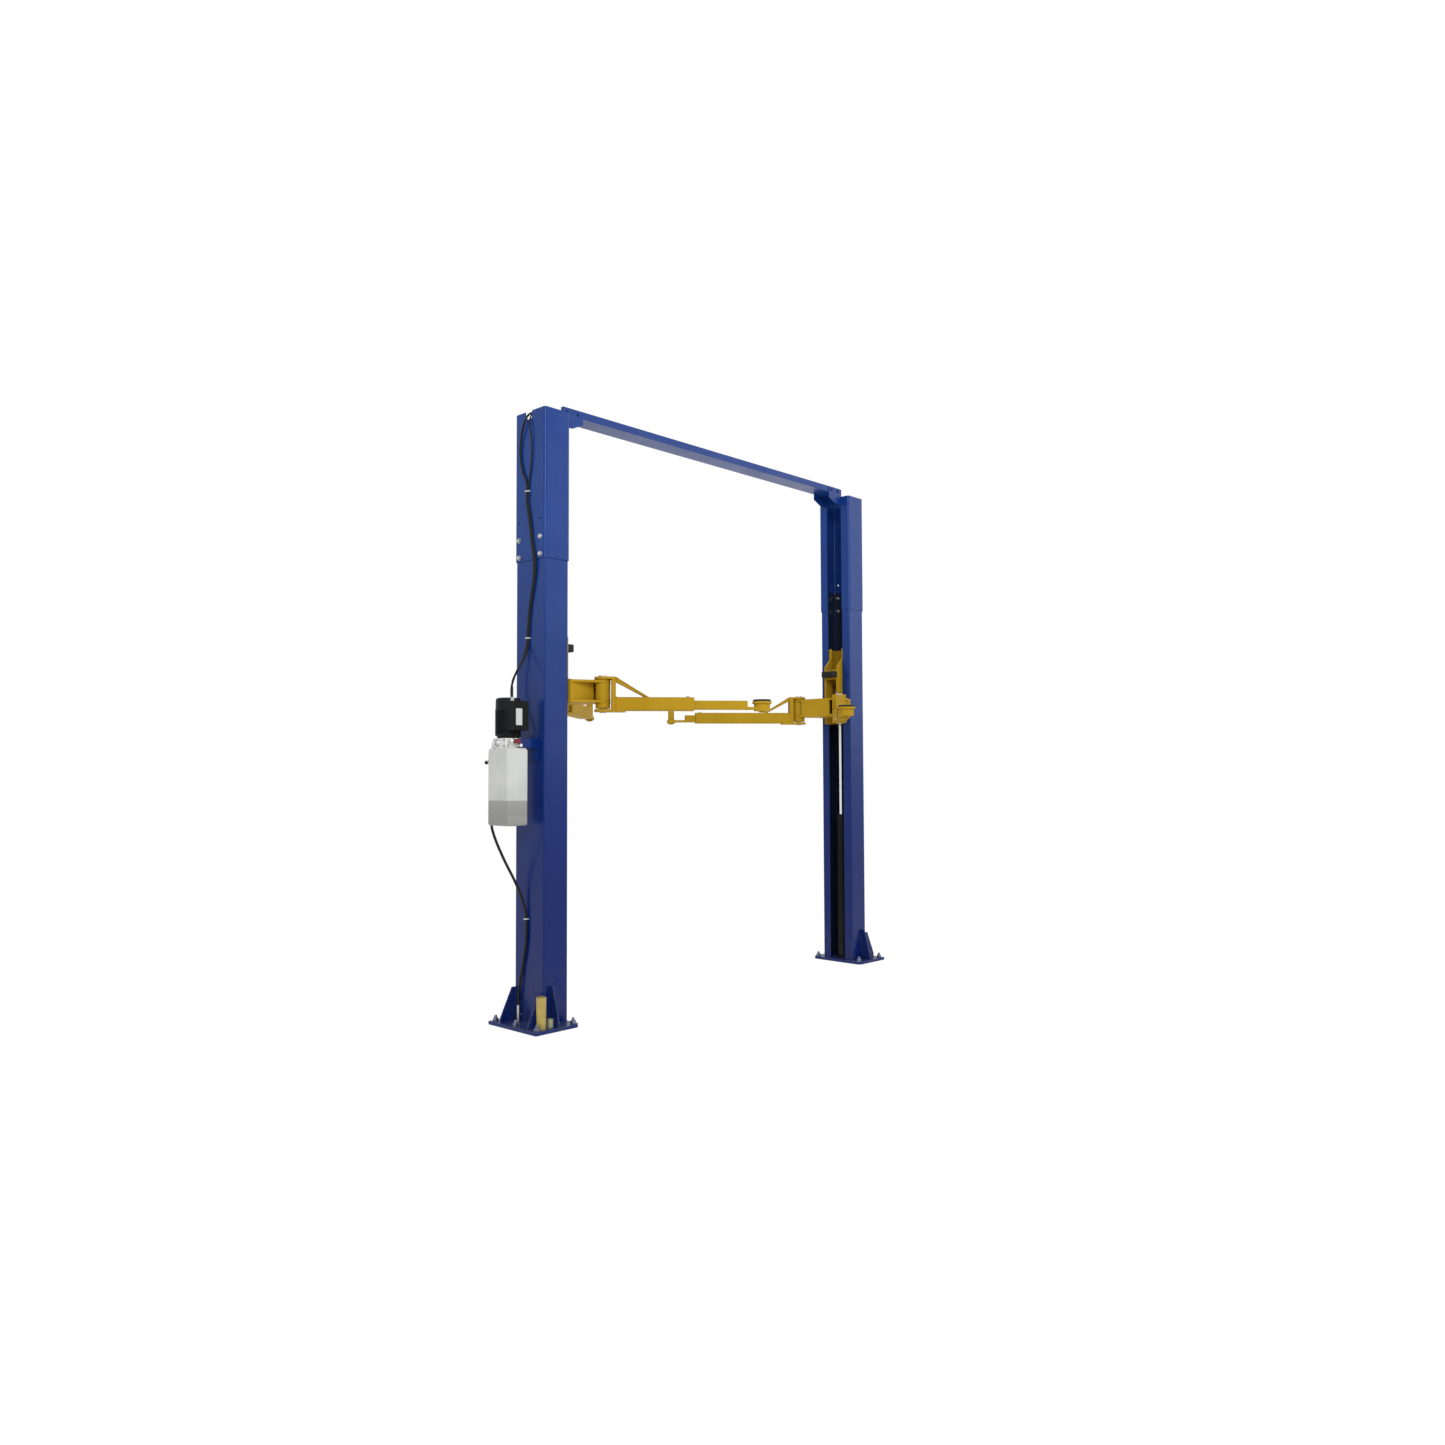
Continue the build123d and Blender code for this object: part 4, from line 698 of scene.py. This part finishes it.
def carriage_welds(side, sign):
    bm = bmesh.new()
    low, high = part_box(f"{side}_arm_pins")
    pin_x = (low.x + high.x) / 2
    for _, fore in ENDS:
        for level in BOSS_WELD_LEVELS:
            round_bead(bm, (pin_x, fore * PIN_Y), BOSS_REACH, level)
    back = sign * HEAD_BACK
    for way in (-1, 1):
        near, far = (way * y for y in HEAD_WELD_RUN)
        for level in HEAD_WELD_LEVELS:
            bead(bm, [(back, near, level), (back - sign * 0.001, far, level)])
    for way in (-1, 1):
        bead(bm, [(back + sign * 0.002, way * TONGUE_WELD_Y, level) for level in TONGUE_WELD_LEVELS])
    piece(f"{side}_carriage_welds", bm, f"{side}_carriage", "arm_paint")


def bumper(side, sign):
    """Moulded rubber buffer with upright ribs, screwed to its plate."""
    low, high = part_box(f"{side}_door_bumper")
    depth = high.x - low.x - BUMPER_RIB_DEPTH
    back, _ = outer_inner(low, high, sign)
    width = high.y - low.y
    count = BUMPER_RIBS * 8
    outline = []
    for i in range(count + 1):
        share = i / count
        ripple = 0.5 - 0.5 * math.cos(2 * math.pi * BUMPER_RIBS * share)
        ends = min(1.0, math.sin(math.pi * share) * 5)
        reach = (depth + BUMPER_RIB_DEPTH * ripple) * (0.84 + 0.16 * ends)
        outline.append((low.y + width * share, reach))
    rings = []
    for level, inset in ((low.z, 0.005), (low.z + 0.0015, 0.002), (low.z + 0.005, 0),
                         (high.z - 0.005, 0), (high.z - 0.0015, 0.002), (high.z, 0.005)):
        ring = [Vector((back, low.y + inset, level))]
        for y, reach in outline:
            near = max(low.y + inset, min(high.y - inset, y))
            ring.append(Vector((back - sign * (reach - inset), near, level)))
        ring.append(Vector((back, high.y - inset, level)))
        rings.append(ring)
    bm = bmesh.new()
    loft(bm, rings)
    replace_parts(piece(f"{side}_bumper", bm, f"{side}_carriage", "rubber"), f"{side}_door_bumper")


def slider_screws(side):
    bm = bmesh.new()
    low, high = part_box(f"{side}_slider_blocks")
    middle = (low.x + high.x) / 2
    for level in (low.z + 0.02, low.z + 0.08, high.z - 0.08, high.z - 0.02):
        for way in (-1, 1):
            turned(bm, frame_at((middle, way * SLIDER_INNER, level), (0, -way, 0)), SLIDER_SCREW, 24)
    piece(f"{side}_slider_screws", bm, f"{side}_carriage", "bare_steel")


for side, sign in SIDES:
    carriage_welds(side, sign)
    bumper(side, sign)
    slider_screws(side)


# Lift chains
LINK_PITCH = 0.0254
LEAVES = 6
CHAIN_WIDTH = 0.031
LINK_HEIGHT = 0.0155
LEAF_THICKNESS = CHAIN_WIDTH / LEAVES * 0.86
CHAIN_PIN = ((0.0032, 0), (0.004, 0.0008), (0.004, CHAIN_WIDTH - 0.0008), (0.0032, CHAIN_WIDTH))
BEND_LINKS = 8


def leaf_links(bm, places):
    """Leaf chain: stacks of waisted plates joined by pins, along places of (start, end, out)."""
    for number, (start, end, out) in enumerate(places):
        start = Vector(start)
        along = Vector(end) - start
        pitch = along.length
        along.normalize()
        out = Vector(out).normalized()
        across = along.cross(out)
        for leaf in range(LEAVES):
            if (leaf + number) % 2:
                continue
            offset = (leaf + 0.5 - LEAVES / 2) * CHAIN_WIDTH / LEAVES
            near, far = [], []
            for angle in angles(16):
                reach = math.cos(angle)
                waist = 0.78 + 0.22 * abs(reach)
                rise = math.sin(angle) * LINK_HEIGHT / 2 * waist * (1.0 if abs(reach) < 0.8 else 0.96)
                point = start + along * (pitch / 2 + reach * (pitch / 2 + LINK_HEIGHT * 0.46)) + out * rise
                near.append(point + across * (offset - LEAF_THICKNESS / 2))
                far.append(point + across * (offset + LEAF_THICKNESS / 2))
            loft(bm, [near, far])
        turned(bm, frame_at(start - across * (CHAIN_WIDTH / 2), across), CHAIN_PIN, 12)


def chain_run(x, foot, top):
    """Places of the links in an upright strand."""
    count = round((top - foot) / LINK_PITCH)
    pitch = (top - foot) / count
    return [((x, 0, foot + i * pitch), (x, 0, foot + (i + 1) * pitch), (1, 0, 0)) for i in range(count)]


def fixed_chains():
    bm = bmesh.new()
    low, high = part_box("chain_fixed_strands")
    for _, sign in SIDES:
        leaf_links(bm, chain_run(sign * (high.x - LINK_HEIGHT / 2), low.z + 0.008, high.z))
    strands = piece("fixed_chains", bm, "root", "chain_steel")
    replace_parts(strands, "chain_fixed_strands")
    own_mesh(strands)


def roller_chain(side):
    """Links over the top of the ram's roller."""
    low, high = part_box(f"{side}_chain_bend")
    centre = Vector(((low.x + high.x) / 2, 0, low.z))
    radius = (high.x - low.x) / 2 - LINK_HEIGHT / 2 - 0.0003
    stops = []
    for i in range(BEND_LINKS + 1):
        angle = math.pi * i / BEND_LINKS
        stops.append(centre + Vector((math.cos(angle), 0, math.sin(angle))) * radius)
    bm = bmesh.new()
    leaf_links(bm, [(start, end, (start + end) / 2 - centre) for start, end in zip(stops, stops[1:])])
    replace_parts(piece(f"{side}_roller_chain", bm, f"{side}_ram", "chain_steel"), f"{side}_chain_bend")


def lift_chain(side):
    low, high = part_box(f"{side}_chain_lift_strand")
    bm = bmesh.new()
    x = (low.x + high.x) / 2
    leaf_links(bm, chain_run(x, low.z + 0.008, high.z))
    strand = piece(f"{side}_lift_chain", bm, None, "chain_steel")
    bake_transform(strand)
    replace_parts(strand, f"{side}_chain_lift_strand")


fixed_chains()
for side, _ in SIDES:
    roller_chain(side)
    lift_chain(side)


# Pads
PAD_RIM = 0.008
PAD_SINK = 0.004
TREAD_PITCH = 0.0115
TREAD_BLOCK = 0.008


def rubber_pad(side, end):
    """Round pad with a moulded waffle tread inside a raised rim."""
    name = f"{side}_{end}_rubber_pad"
    low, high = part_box(name)
    centre = Vector(((low.x + high.x) / 2, (low.y + high.y) / 2, 0))
    radius = (high.x - low.x) / 2
    rim = radius - PAD_RIM
    floor = high.z - PAD_SINK
    bm = bmesh.new()
    turned(bm, Matrix.Translation(centre), (
        (0.001, low.z), (radius, low.z), (radius, high.z - 0.002), (radius - 0.002, high.z),
        (rim + 0.001, high.z), (rim, high.z - 0.001), (rim - 0.001, floor), (0.001, floor),
    ), 64)
    span = int(rim / TREAD_PITCH)
    for i in range(-span, span + 1):
        for j in range(-span, span + 1):
            if math.hypot(i, j) * TREAD_PITCH + TREAD_BLOCK * 0.72 > rim - 0.003:
                continue
            spot = centre + Vector((i * TREAD_PITCH, j * TREAD_PITCH, floor - 0.0005))
            slab(bm, Matrix.Translation(spot), (TREAD_BLOCK, TREAD_BLOCK, 0.0042), 0.0009)
    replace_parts(piece(f"{side}_{end}_pad", bm, f"{side}_{end}_extension", "rubber"), name)


for side, _ in SIDES:
    for end, _ in ENDS:
        rubber_pad(side, end)


# Arms
ARM_TOP = 1.947
ARM_TUBE_HALF = 0.05
STOP_SCREW_SIZE = 0.012
STOP_SCREW_BACK = 0.035

# Beads on both walls of an arm's head and on its strap, then those across the arm and across
# the extension. Each has its points, by reach from the pin, offset across and level.
HEAD_BEADS = (
    ((0.053, 0.0505, 1.876), (0.053, 0.0505, 1.95), (0.053, 0.0505, 2.05)),
    ((0.079, 0.0505, 1.868), (0.079, 0.0505, 1.945)),
    ((0.080, 0.031, 2.067), (0.268, 0.031, 1.9475)),
)
TUBE_BEAD = ((0.081, -0.046, 1.948), (0.081, -0.02, 1.948), (0.081, 0.02, 1.948), (0.081, 0.046, 1.948))
STRAP_BEAD = ((0.276, -0.03, ARM_TOP), (0.276, 0.03, ARM_TOP))
EXTENSION_BEADS = (
    ((0.885, -0.028, 1.8895), (0.885, 0.028, 1.8895)),
    ((0.886, -0.034, 1.874), (0.886, 0.034, 1.874)),
)


def arm_details(side, sign, end, fore):
    """Welds of one arm, and the stop screw in its tube."""
    place = f"{side}_{end}"
    pad_low, pad_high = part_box(f"{place}_rubber_pad")
    pin_low, pin_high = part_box(f"{side}_arm_pins")
    pin = Vector(((pin_low.x + pin_high.x) / 2, fore * PIN_Y, 0))
    pad = (pad_low + pad_high) / 2
    along = Vector((pad.x - pin.x, pad.y - pin.y, 0)).normalized()
    across = Vector((-along.y, along.x, 0))

    def on_arm(points, way=1):
        return [pin + along * reach + across * (way * offset) + UP * level for reach, offset, level in points]

    bm = bmesh.new()
    for way in (-1, 1):
        for points in HEAD_BEADS:
            bead(bm, on_arm(points, way), 0.003)
    bead(bm, on_arm(TUBE_BEAD), 0.003)
    bead(bm, on_arm(STRAP_BEAD))
    piece(f"{place}_arm_welds", bm, f"{place}_arm", "arm_paint")
    bm = bmesh.new()
    tube_low, tube_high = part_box(f"{place}_arm")
    _, far = outer_inner(tube_low, tube_high, sign)
    tube_end = (abs(far - pin.x) - ARM_TUBE_HALF * abs(across.x)) / abs(along.x)
    hex_bolt(bm, on_arm([(tube_end - STOP_SCREW_BACK, 0, ARM_TOP)])[0], UP, STOP_SCREW_SIZE)
    piece(f"{place}_stop_screw", bm, f"{place}_arm", "bare_steel")
    if end == "front":
        bm = bmesh.new()
        for points in EXTENSION_BEADS:
            bead(bm, on_arm(points), 0.0028)
        piece(f"{place}_extension_welds", bm, f"{place}_extension", "arm_paint")


for side, sign in SIDES:
    for end, fore in ENDS:
        arm_details(side, sign, end, fore)


# Power unit
FINS = 40
FIN_DEPTH = 0.007
COWL_RISE = 0.166
COWL_STEP = 0.003
GRILLE_RINGS = (0.016, 0.026, 0.036, 0.046)
GRILLE_WIRE = 0.0022
SPOKES = 6
BOX_HEIGHT = 0.170
BOX_CORNER = 0.007
COVER_PROUD = 0.002
COVER_SCREW = ((0.0036, -0.001), (0.0036, 0.0002), (0.0028, 0.0008), (0.0012, 0.0001))
COVER_SCREW_SPREAD = (0.041, 0.075)
PLATE_CENTRE = (-1.762, 1.8125)
PLATE_SIZE = (0.044, 0.096, 0.0012)
GLAND_PLACE = (-1.772, -0.084)
TANK_CORNER = 0.018
TANK_EDGE = 0.012
KNOB_RADIUS = 0.012
BLOCK_REACH = 0.060
BLOCK_SIDE = 0.0617
BLOCK_LEVEL = 1.6625
CAP_SCREW = (
    (0.0055, 0), (0.0065, 0.0005), (0.0065, 0.0055), (0.0058, 0.006), (0.0035, 0.006), (0.0032, 0.003),
)


def motor_place():
    """Matrix at the motor's axis, the levels of its foot and top, and its radius."""
    low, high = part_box("motor")
    at = Matrix.Translation(((low.x + high.x) / 2, (low.y + high.y) / 2, 0))
    return at, low.z, high.z, (high.x - low.x) / 2


def motor_body():
    """Body with cooling fins, on its flange."""
    at, foot, _, radius = motor_place()
    bm = bmesh.new()
    turned(bm, at, (
        (0.01, foot), (radius - 0.013, foot), (radius - 0.012, foot + 0.001), (radius - 0.012, foot + 0.010),
        (radius - 0.004, foot + 0.014), (radius - 0.001, foot + 0.016), (radius - 0.001, foot + 0.022),
        (radius - 0.006, foot + 0.024), (0.01, foot + 0.024),
    ), 72)
    ring = []
    for i in range(FINS):
        for share, depth in ((0.0, 0.0), (0.3, 0.0), (0.42, FIN_DEPTH), (0.88, FIN_DEPTH)):
            ring.append(polar(radius - 0.0006 - depth, 2 * math.pi * (i + share) / FINS))
    levels = (foot + 0.022, foot + COWL_RISE - 0.002)
    loft(bm, [[at @ (point + UP * level) for point in ring] for level in levels])
    piece("motor_body", bm, "root", "motor_paint")


def fan_cowl():
    """Cowl over the fan, with a grille of rings and spokes."""
    at, foot, top, radius = motor_place()
    start = foot + COWL_RISE
    shell = radius - COWL_STEP
    bm = bmesh.new()
    turned(bm, at, (
        (shell - 0.004, start - 0.004), (radius - 0.0002, start - 0.003), (radius - 0.0002, start),
        (shell, start + 0.003), (shell, top - 0.016), (shell - 0.002, top - 0.009),
        (shell - 0.006, top - 0.004), (shell - 0.013, top - 0.001), (shell - 0.02, top - 0.0005),
        (shell - 0.021, top - 0.002), (shell - 0.021, top - 0.008), (0.004, top - 0.008),
    ), 72)
    for reach in GRILLE_RINGS:
        rings = []
        for angle in angles(48):
            rings.append([
                at @ polar(reach + GRILLE_WIRE * math.cos(t), angle, top - 0.0035 + GRILLE_WIRE * math.sin(t))
                for t in angles(8)
            ])
        loft(bm, rings, loop=True)
    for i in range(SPOKES):
        turn = Matrix.Rotation(math.pi * (i + 0.25) / 3, 4, "Z")
        slab(bm, at @ turn @ Matrix.Translation((0.029, 0, top - 0.0065)), (0.046, 0.005, 0.005), 0.0008)
    turned(bm, at, ((0.012, top - 0.008), (0.013, top - 0.003), (0.011, top - 0.0012), (0.002, top - 0.0008)))
    cowl = piece("fan_cowl", bm, "root", "motor_paint")
    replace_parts(cowl, "motor")


def motor_screws():
    at, foot, _, radius = motor_place()
    bm = bmesh.new()
    for i in range(4):
        angle = math.pi / 4 + math.pi / 2 * i
        hex_part(bm, at @ Matrix.Translation(polar(radius - 0.0205, angle, foot + 0.010)), 0.010, 0.006)
        spot = at @ polar(radius - COWL_STEP + 0.0004, angle, foot + COWL_RISE + 0.009)
        turned(bm, frame_at(spot, polar(1, angle)), ((0.0042, 0), (0.004, 0.0016), (0.002, 0.0024)), 16)
    piece("motor_screws", bm, "root", "motor_paint")


def switch_box_details():
    """Cover with its screws, a bare white plate and the cable gland in pale nylon, its paleness a painted
    highlight.
    """
    low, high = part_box("switch_box")
    middle = (low.x + high.x) / 2
    top = low.z + BOX_HEIGHT
    level = (low.z + top) / 2
    face = low.y
    bm = bmesh.new()
    rings = []
    for y, inset in ((face + 0.004, 0.001), (face - 0.0005, 0.001), (face - COVER_PROUD, 0.0025)):
        half_x, half_z = (high.x - low.x) / 2 - inset, BOX_HEIGHT / 2 - inset
        ring = rounded_ring((middle, level), half_x, half_z, BOX_CORNER, 0)
        rings.append([Vector((p.x, y, p.y)) for p in ring])
    loft(bm, rings)
    piece("switch_cover", bm, "root", "box_plastic")
    face -= COVER_PROUD
    bm = bmesh.new()
    for x in (-1, 1):
        for z in (-1, 1):
            spot = (middle + x * COVER_SCREW_SPREAD[0], face, level + z * COVER_SCREW_SPREAD[1])
            turned(bm, frame_at(spot, (0, -1, 0)), COVER_SCREW, 16)
    piece("switch_screws", bm, "root", "box_plastic")
    bm = bmesh.new()
    slab(bm, frame_at((PLATE_CENTRE[0], face + 0.0002, PLATE_CENTRE[1]), (0, -1, 0)), PLATE_SIZE, 0.0003)
    piece("switch_plate", bm, "root", "box_plastic", "plate_label")
    bm = bmesh.new()
    at = Matrix.Translation((*GLAND_PLACE, top))
    hex_part(bm, at, 0.020, 0.006)
    turned(bm, at, (
        (0.0084, 0.005), (0.0088, 0.008), (0.0098, 0.0085), (0.0098, 0.014), (0.0094, 0.018),
        (0.0080, 0.0212), (0.0060, 0.0228), (0.0047, 0.0228),
    ), 48, lambda angle: 1 - 0.03 * math.cos(16 * angle))
    # The gland is a real part; its pale nylon is a painted highlight
    piece("cable_gland", bm, "root", "tie_nylon")


def tank():
    """Blow-moulded tank: round edges, a parting seam and a sloped shoulder."""
    low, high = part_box("oil_tank")
    centre = ((low.x + high.x) / 2, (low.y + high.y) / 2)
    half_x, half_y = (high.x - low.x) / 2, (high.y - low.y) / 2
    sections = []
    for i in range(7):
        angle = math.pi / 2 * i / 6
        sections.append((low.z + TANK_EDGE * (1 - math.cos(angle)), TANK_EDGE * (1 - math.sin(angle))))
    sections += [(low.z + rise, inset) for rise, inset in (
        (0.05, 0.0), (0.052, 0.0008), (0.06, 0.0008), (0.062, 0.0),
    )]
    sections += [(high.z - drop, inset) for drop, inset in (
        (0.05, 0.0), (0.018, 0.0), (0.014, 0.0004), (0.010, 0.0020),
        (0.006, 0.0038), (0.003, 0.0056), (0.001, 0.0078), (0.0, 0.0098),
    )]
    bm = bmesh.new()
    loft(bm, [
        rounded_ring(centre, half_x - inset, half_y - inset, TANK_CORNER, level) for level, inset in sections
    ])
    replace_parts(piece("tank_shell", bm, "root", "tank_plastic"), "oil_tank")


def lever():
    """Lowering lever: an eye on the pivot, its rod and a ball knob."""
    low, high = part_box("lowering_lever")
    pivot = Vector(joint_places["lowering_lever_press"])
    knob = Vector(((low.x + high.x) / 2, high.y - KNOB_RADIUS, low.z + KNOB_RADIUS))
    run = knob - pivot
    along = run.normalized()
    bm = bmesh.new()
    turned(bm, frame_at(pivot - Vector((0.0077, 0, 0)), (1, 0, 0)), (
        (0.0045, 0), (0.0082, 0), (0.009, 0.0008), (0.009, 0.0146), (0.0082, 0.0154), (0.0045, 0.0154),
    ))
    turned(bm, frame_at(pivot + along * 0.006, along), (
        (0.006, 0), (0.006, 0.012), (0.0042, 0.016), (0.0038, 0.02), (0.0038, run.length - 0.024),
        (0.005, run.length - 0.022), (0.005, run.length - 0.016),
    ), 20)
    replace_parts(piece("lever_arm", bm, "lever", "lever_steel"), "lowering_lever")
    bm = bmesh.new()
    profile = [(0.0052, -0.0115), (0.0058, -0.0108)]
    for i in range(2, 17):
        angle = -math.pi / 2 + math.pi * i / 16
        profile.append((max(0.0008, KNOB_RADIUS * math.cos(angle)), KNOB_RADIUS * math.sin(angle)))
    turned(bm, frame_at(knob, along), profile)
    piece("lever_knob", bm, "lever", "lever_steel", "knob_plastic")


def filler_cap():
    """Breather cap with a ridged grip."""
    low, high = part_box("filler_cap")
    at = frame_at(((low.x + high.x) / 2, high.y, (low.z + high.z) / 2), (0, -1, 0))
    reach = high.y - low.y
    radius = (high.x - low.x) / 2
    bm = bmesh.new()
    turned(bm, at, ((radius - 0.002, 0), (radius, 0.001), (radius, 0.005), (radius - 0.0016, 0.006)), 48)
    turned(bm, at, (
        (radius - 0.0005, 0.0055), (radius - 0.0002, 0.007), (radius - 0.0002, reach - 0.003),
        (radius - 0.003, reach - 0.0005), (radius - 0.006, reach),
    ), 144, ridges(24, 0.06))
    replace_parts(piece("breather_cap", bm, "root", "cap_plastic"), "filler_cap")


def block_details():
    """Cap screws of the valve block and the knurled knob of its valve."""
    unit_x = sum(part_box("motor")[k].x for k in (0, 1)) / 2
    face = unit_x - BLOCK_REACH
    bm = bmesh.new()
    turned(bm, frame_at((face - 0.014, 0.030, BLOCK_LEVEL), (-1, 0, 0)), (
        (0.0128, 0.0002), (0.0132, 0.001), (0.0132, 0.0068), (0.0118, 0.0082), (0.004, 0.0082),
    ), 120, ridges(30, 0.05))
    for y in (-0.045, 0.050):
        for z in (1.645, 1.680):
            turned(bm, frame_at((face, y, z), (-1, 0, 0)), CAP_SCREW, 24)
    for x in (-0.045, 0.045):
        turned(bm, frame_at((unit_x + x, -BLOCK_SIDE, 1.648), (0, -1, 0)), CAP_SCREW, 24)
    piece("block_screws", bm, "root", "bare_steel")


motor_body()
fan_cowl()
motor_screws()
switch_box_details()
tank()
lever()
filler_cap()
block_details()


# Stage
FLOOR_SIZE = 60
FLOOR_LEVEL = -0.0005
FLOOR_GLOW = 1.13
FLOOR_GLOW_SHARE = 0.8
WORLD_LIGHT = 0.5
LAMP_TARGET = Vector((0, 0, 1.8))
LAMPS = (
    ("key", (-6.2, -6.6, 6.0), 4.0, 350),
    ("fill", (5.0, -5.0, 4.0), 5.0, 90),
    ("top", (0.5, 3.0, 7.5), 5.0, 90),
)


def seen_rays(tree):
    """1 for a ray from the camera, and for one that glass or a glossy face passes on."""
    path = tree.nodes.new("ShaderNodeLightPath").outputs
    seen = path["Is Camera Ray"]
    for ray in ("Is Transmission Ray", "Is Glossy Ray"):
        wider = tree.nodes.new("ShaderNodeMath")
        wider.operation = "MAXIMUM"
        tree.links.new(seen, wider.inputs[0])
        tree.links.new(path[ray], wider.inputs[1])
        seen = wider.outputs[0]
    return seen


def white_stage():
    """Pale floor that reads as white paper and keeps a soft shadow."""
    bm = bmesh.new()
    bmesh.ops.create_grid(bm, x_segments=1, y_segments=1, size=FLOOR_SIZE)
    mesh = bpy.data.meshes.new("floor")
    bm.to_mesh(mesh)
    bm.free()
    floor = bpy.data.objects.new("floor", mesh)
    floor.location.z = FLOOR_LEVEL
    bpy.context.scene.collection.objects.link(floor)
    s = Shader("floor")
    s.finish(Base_Color=(0.95, 0.95, 0.95, 1), Roughness=0.9, Specular_IOR_Level=0.0)
    glow = s.add("ShaderNodeEmission")
    glow.inputs["Strength"].default_value = FLOOR_GLOW
    glow.inputs["Color"].default_value = (1, 1, 1, 1)
    blend = s.add("ShaderNodeMixShader")
    s.link(s.times(seen_rays(s.tree), FLOOR_GLOW_SHARE), blend.inputs[0])
    s.link(s.surface.outputs[0], blend.inputs[1])
    s.link(glow.outputs[0], blend.inputs[2])
    s.link(blend.outputs[0], s.output.inputs["Surface"])
    mesh.materials.append(s.material)


def studio_world():
    """White to the camera and in reflections, and a softer white that lights the lift."""
    world = bpy.data.worlds.new("studio")
    bpy.context.scene.world = world
    world.use_nodes = True
    tree = world.node_tree
    back = tree.nodes["Background"]
    level = tree.nodes.new("ShaderNodeMapRange")
    tree.links.new(seen_rays(tree), level.inputs["Value"])
    level.inputs["To Min"].default_value = WORLD_LIGHT
    level.inputs["To Max"].default_value = 1.0
    tree.links.new(level.outputs[0], back.inputs["Strength"])
    back.inputs["Color"].default_value = (1, 1, 1, 1)


def lamp(name, place, size, power):
    data = bpy.data.lights.new(name, "AREA")
    data.shape = "SQUARE"
    data.size = size
    data.energy = power
    obj = bpy.data.objects.new(name, data)
    obj.location = place
    obj.rotation_euler = (LAMP_TARGET - Vector(place)).to_track_quat("-Z", "Y").to_euler()
    bpy.context.scene.collection.objects.link(obj)


white_stage()
studio_world()
for lamp_settings in LAMPS:
    lamp(*lamp_settings)
bpy.context.scene.view_settings.view_transform = "Standard"
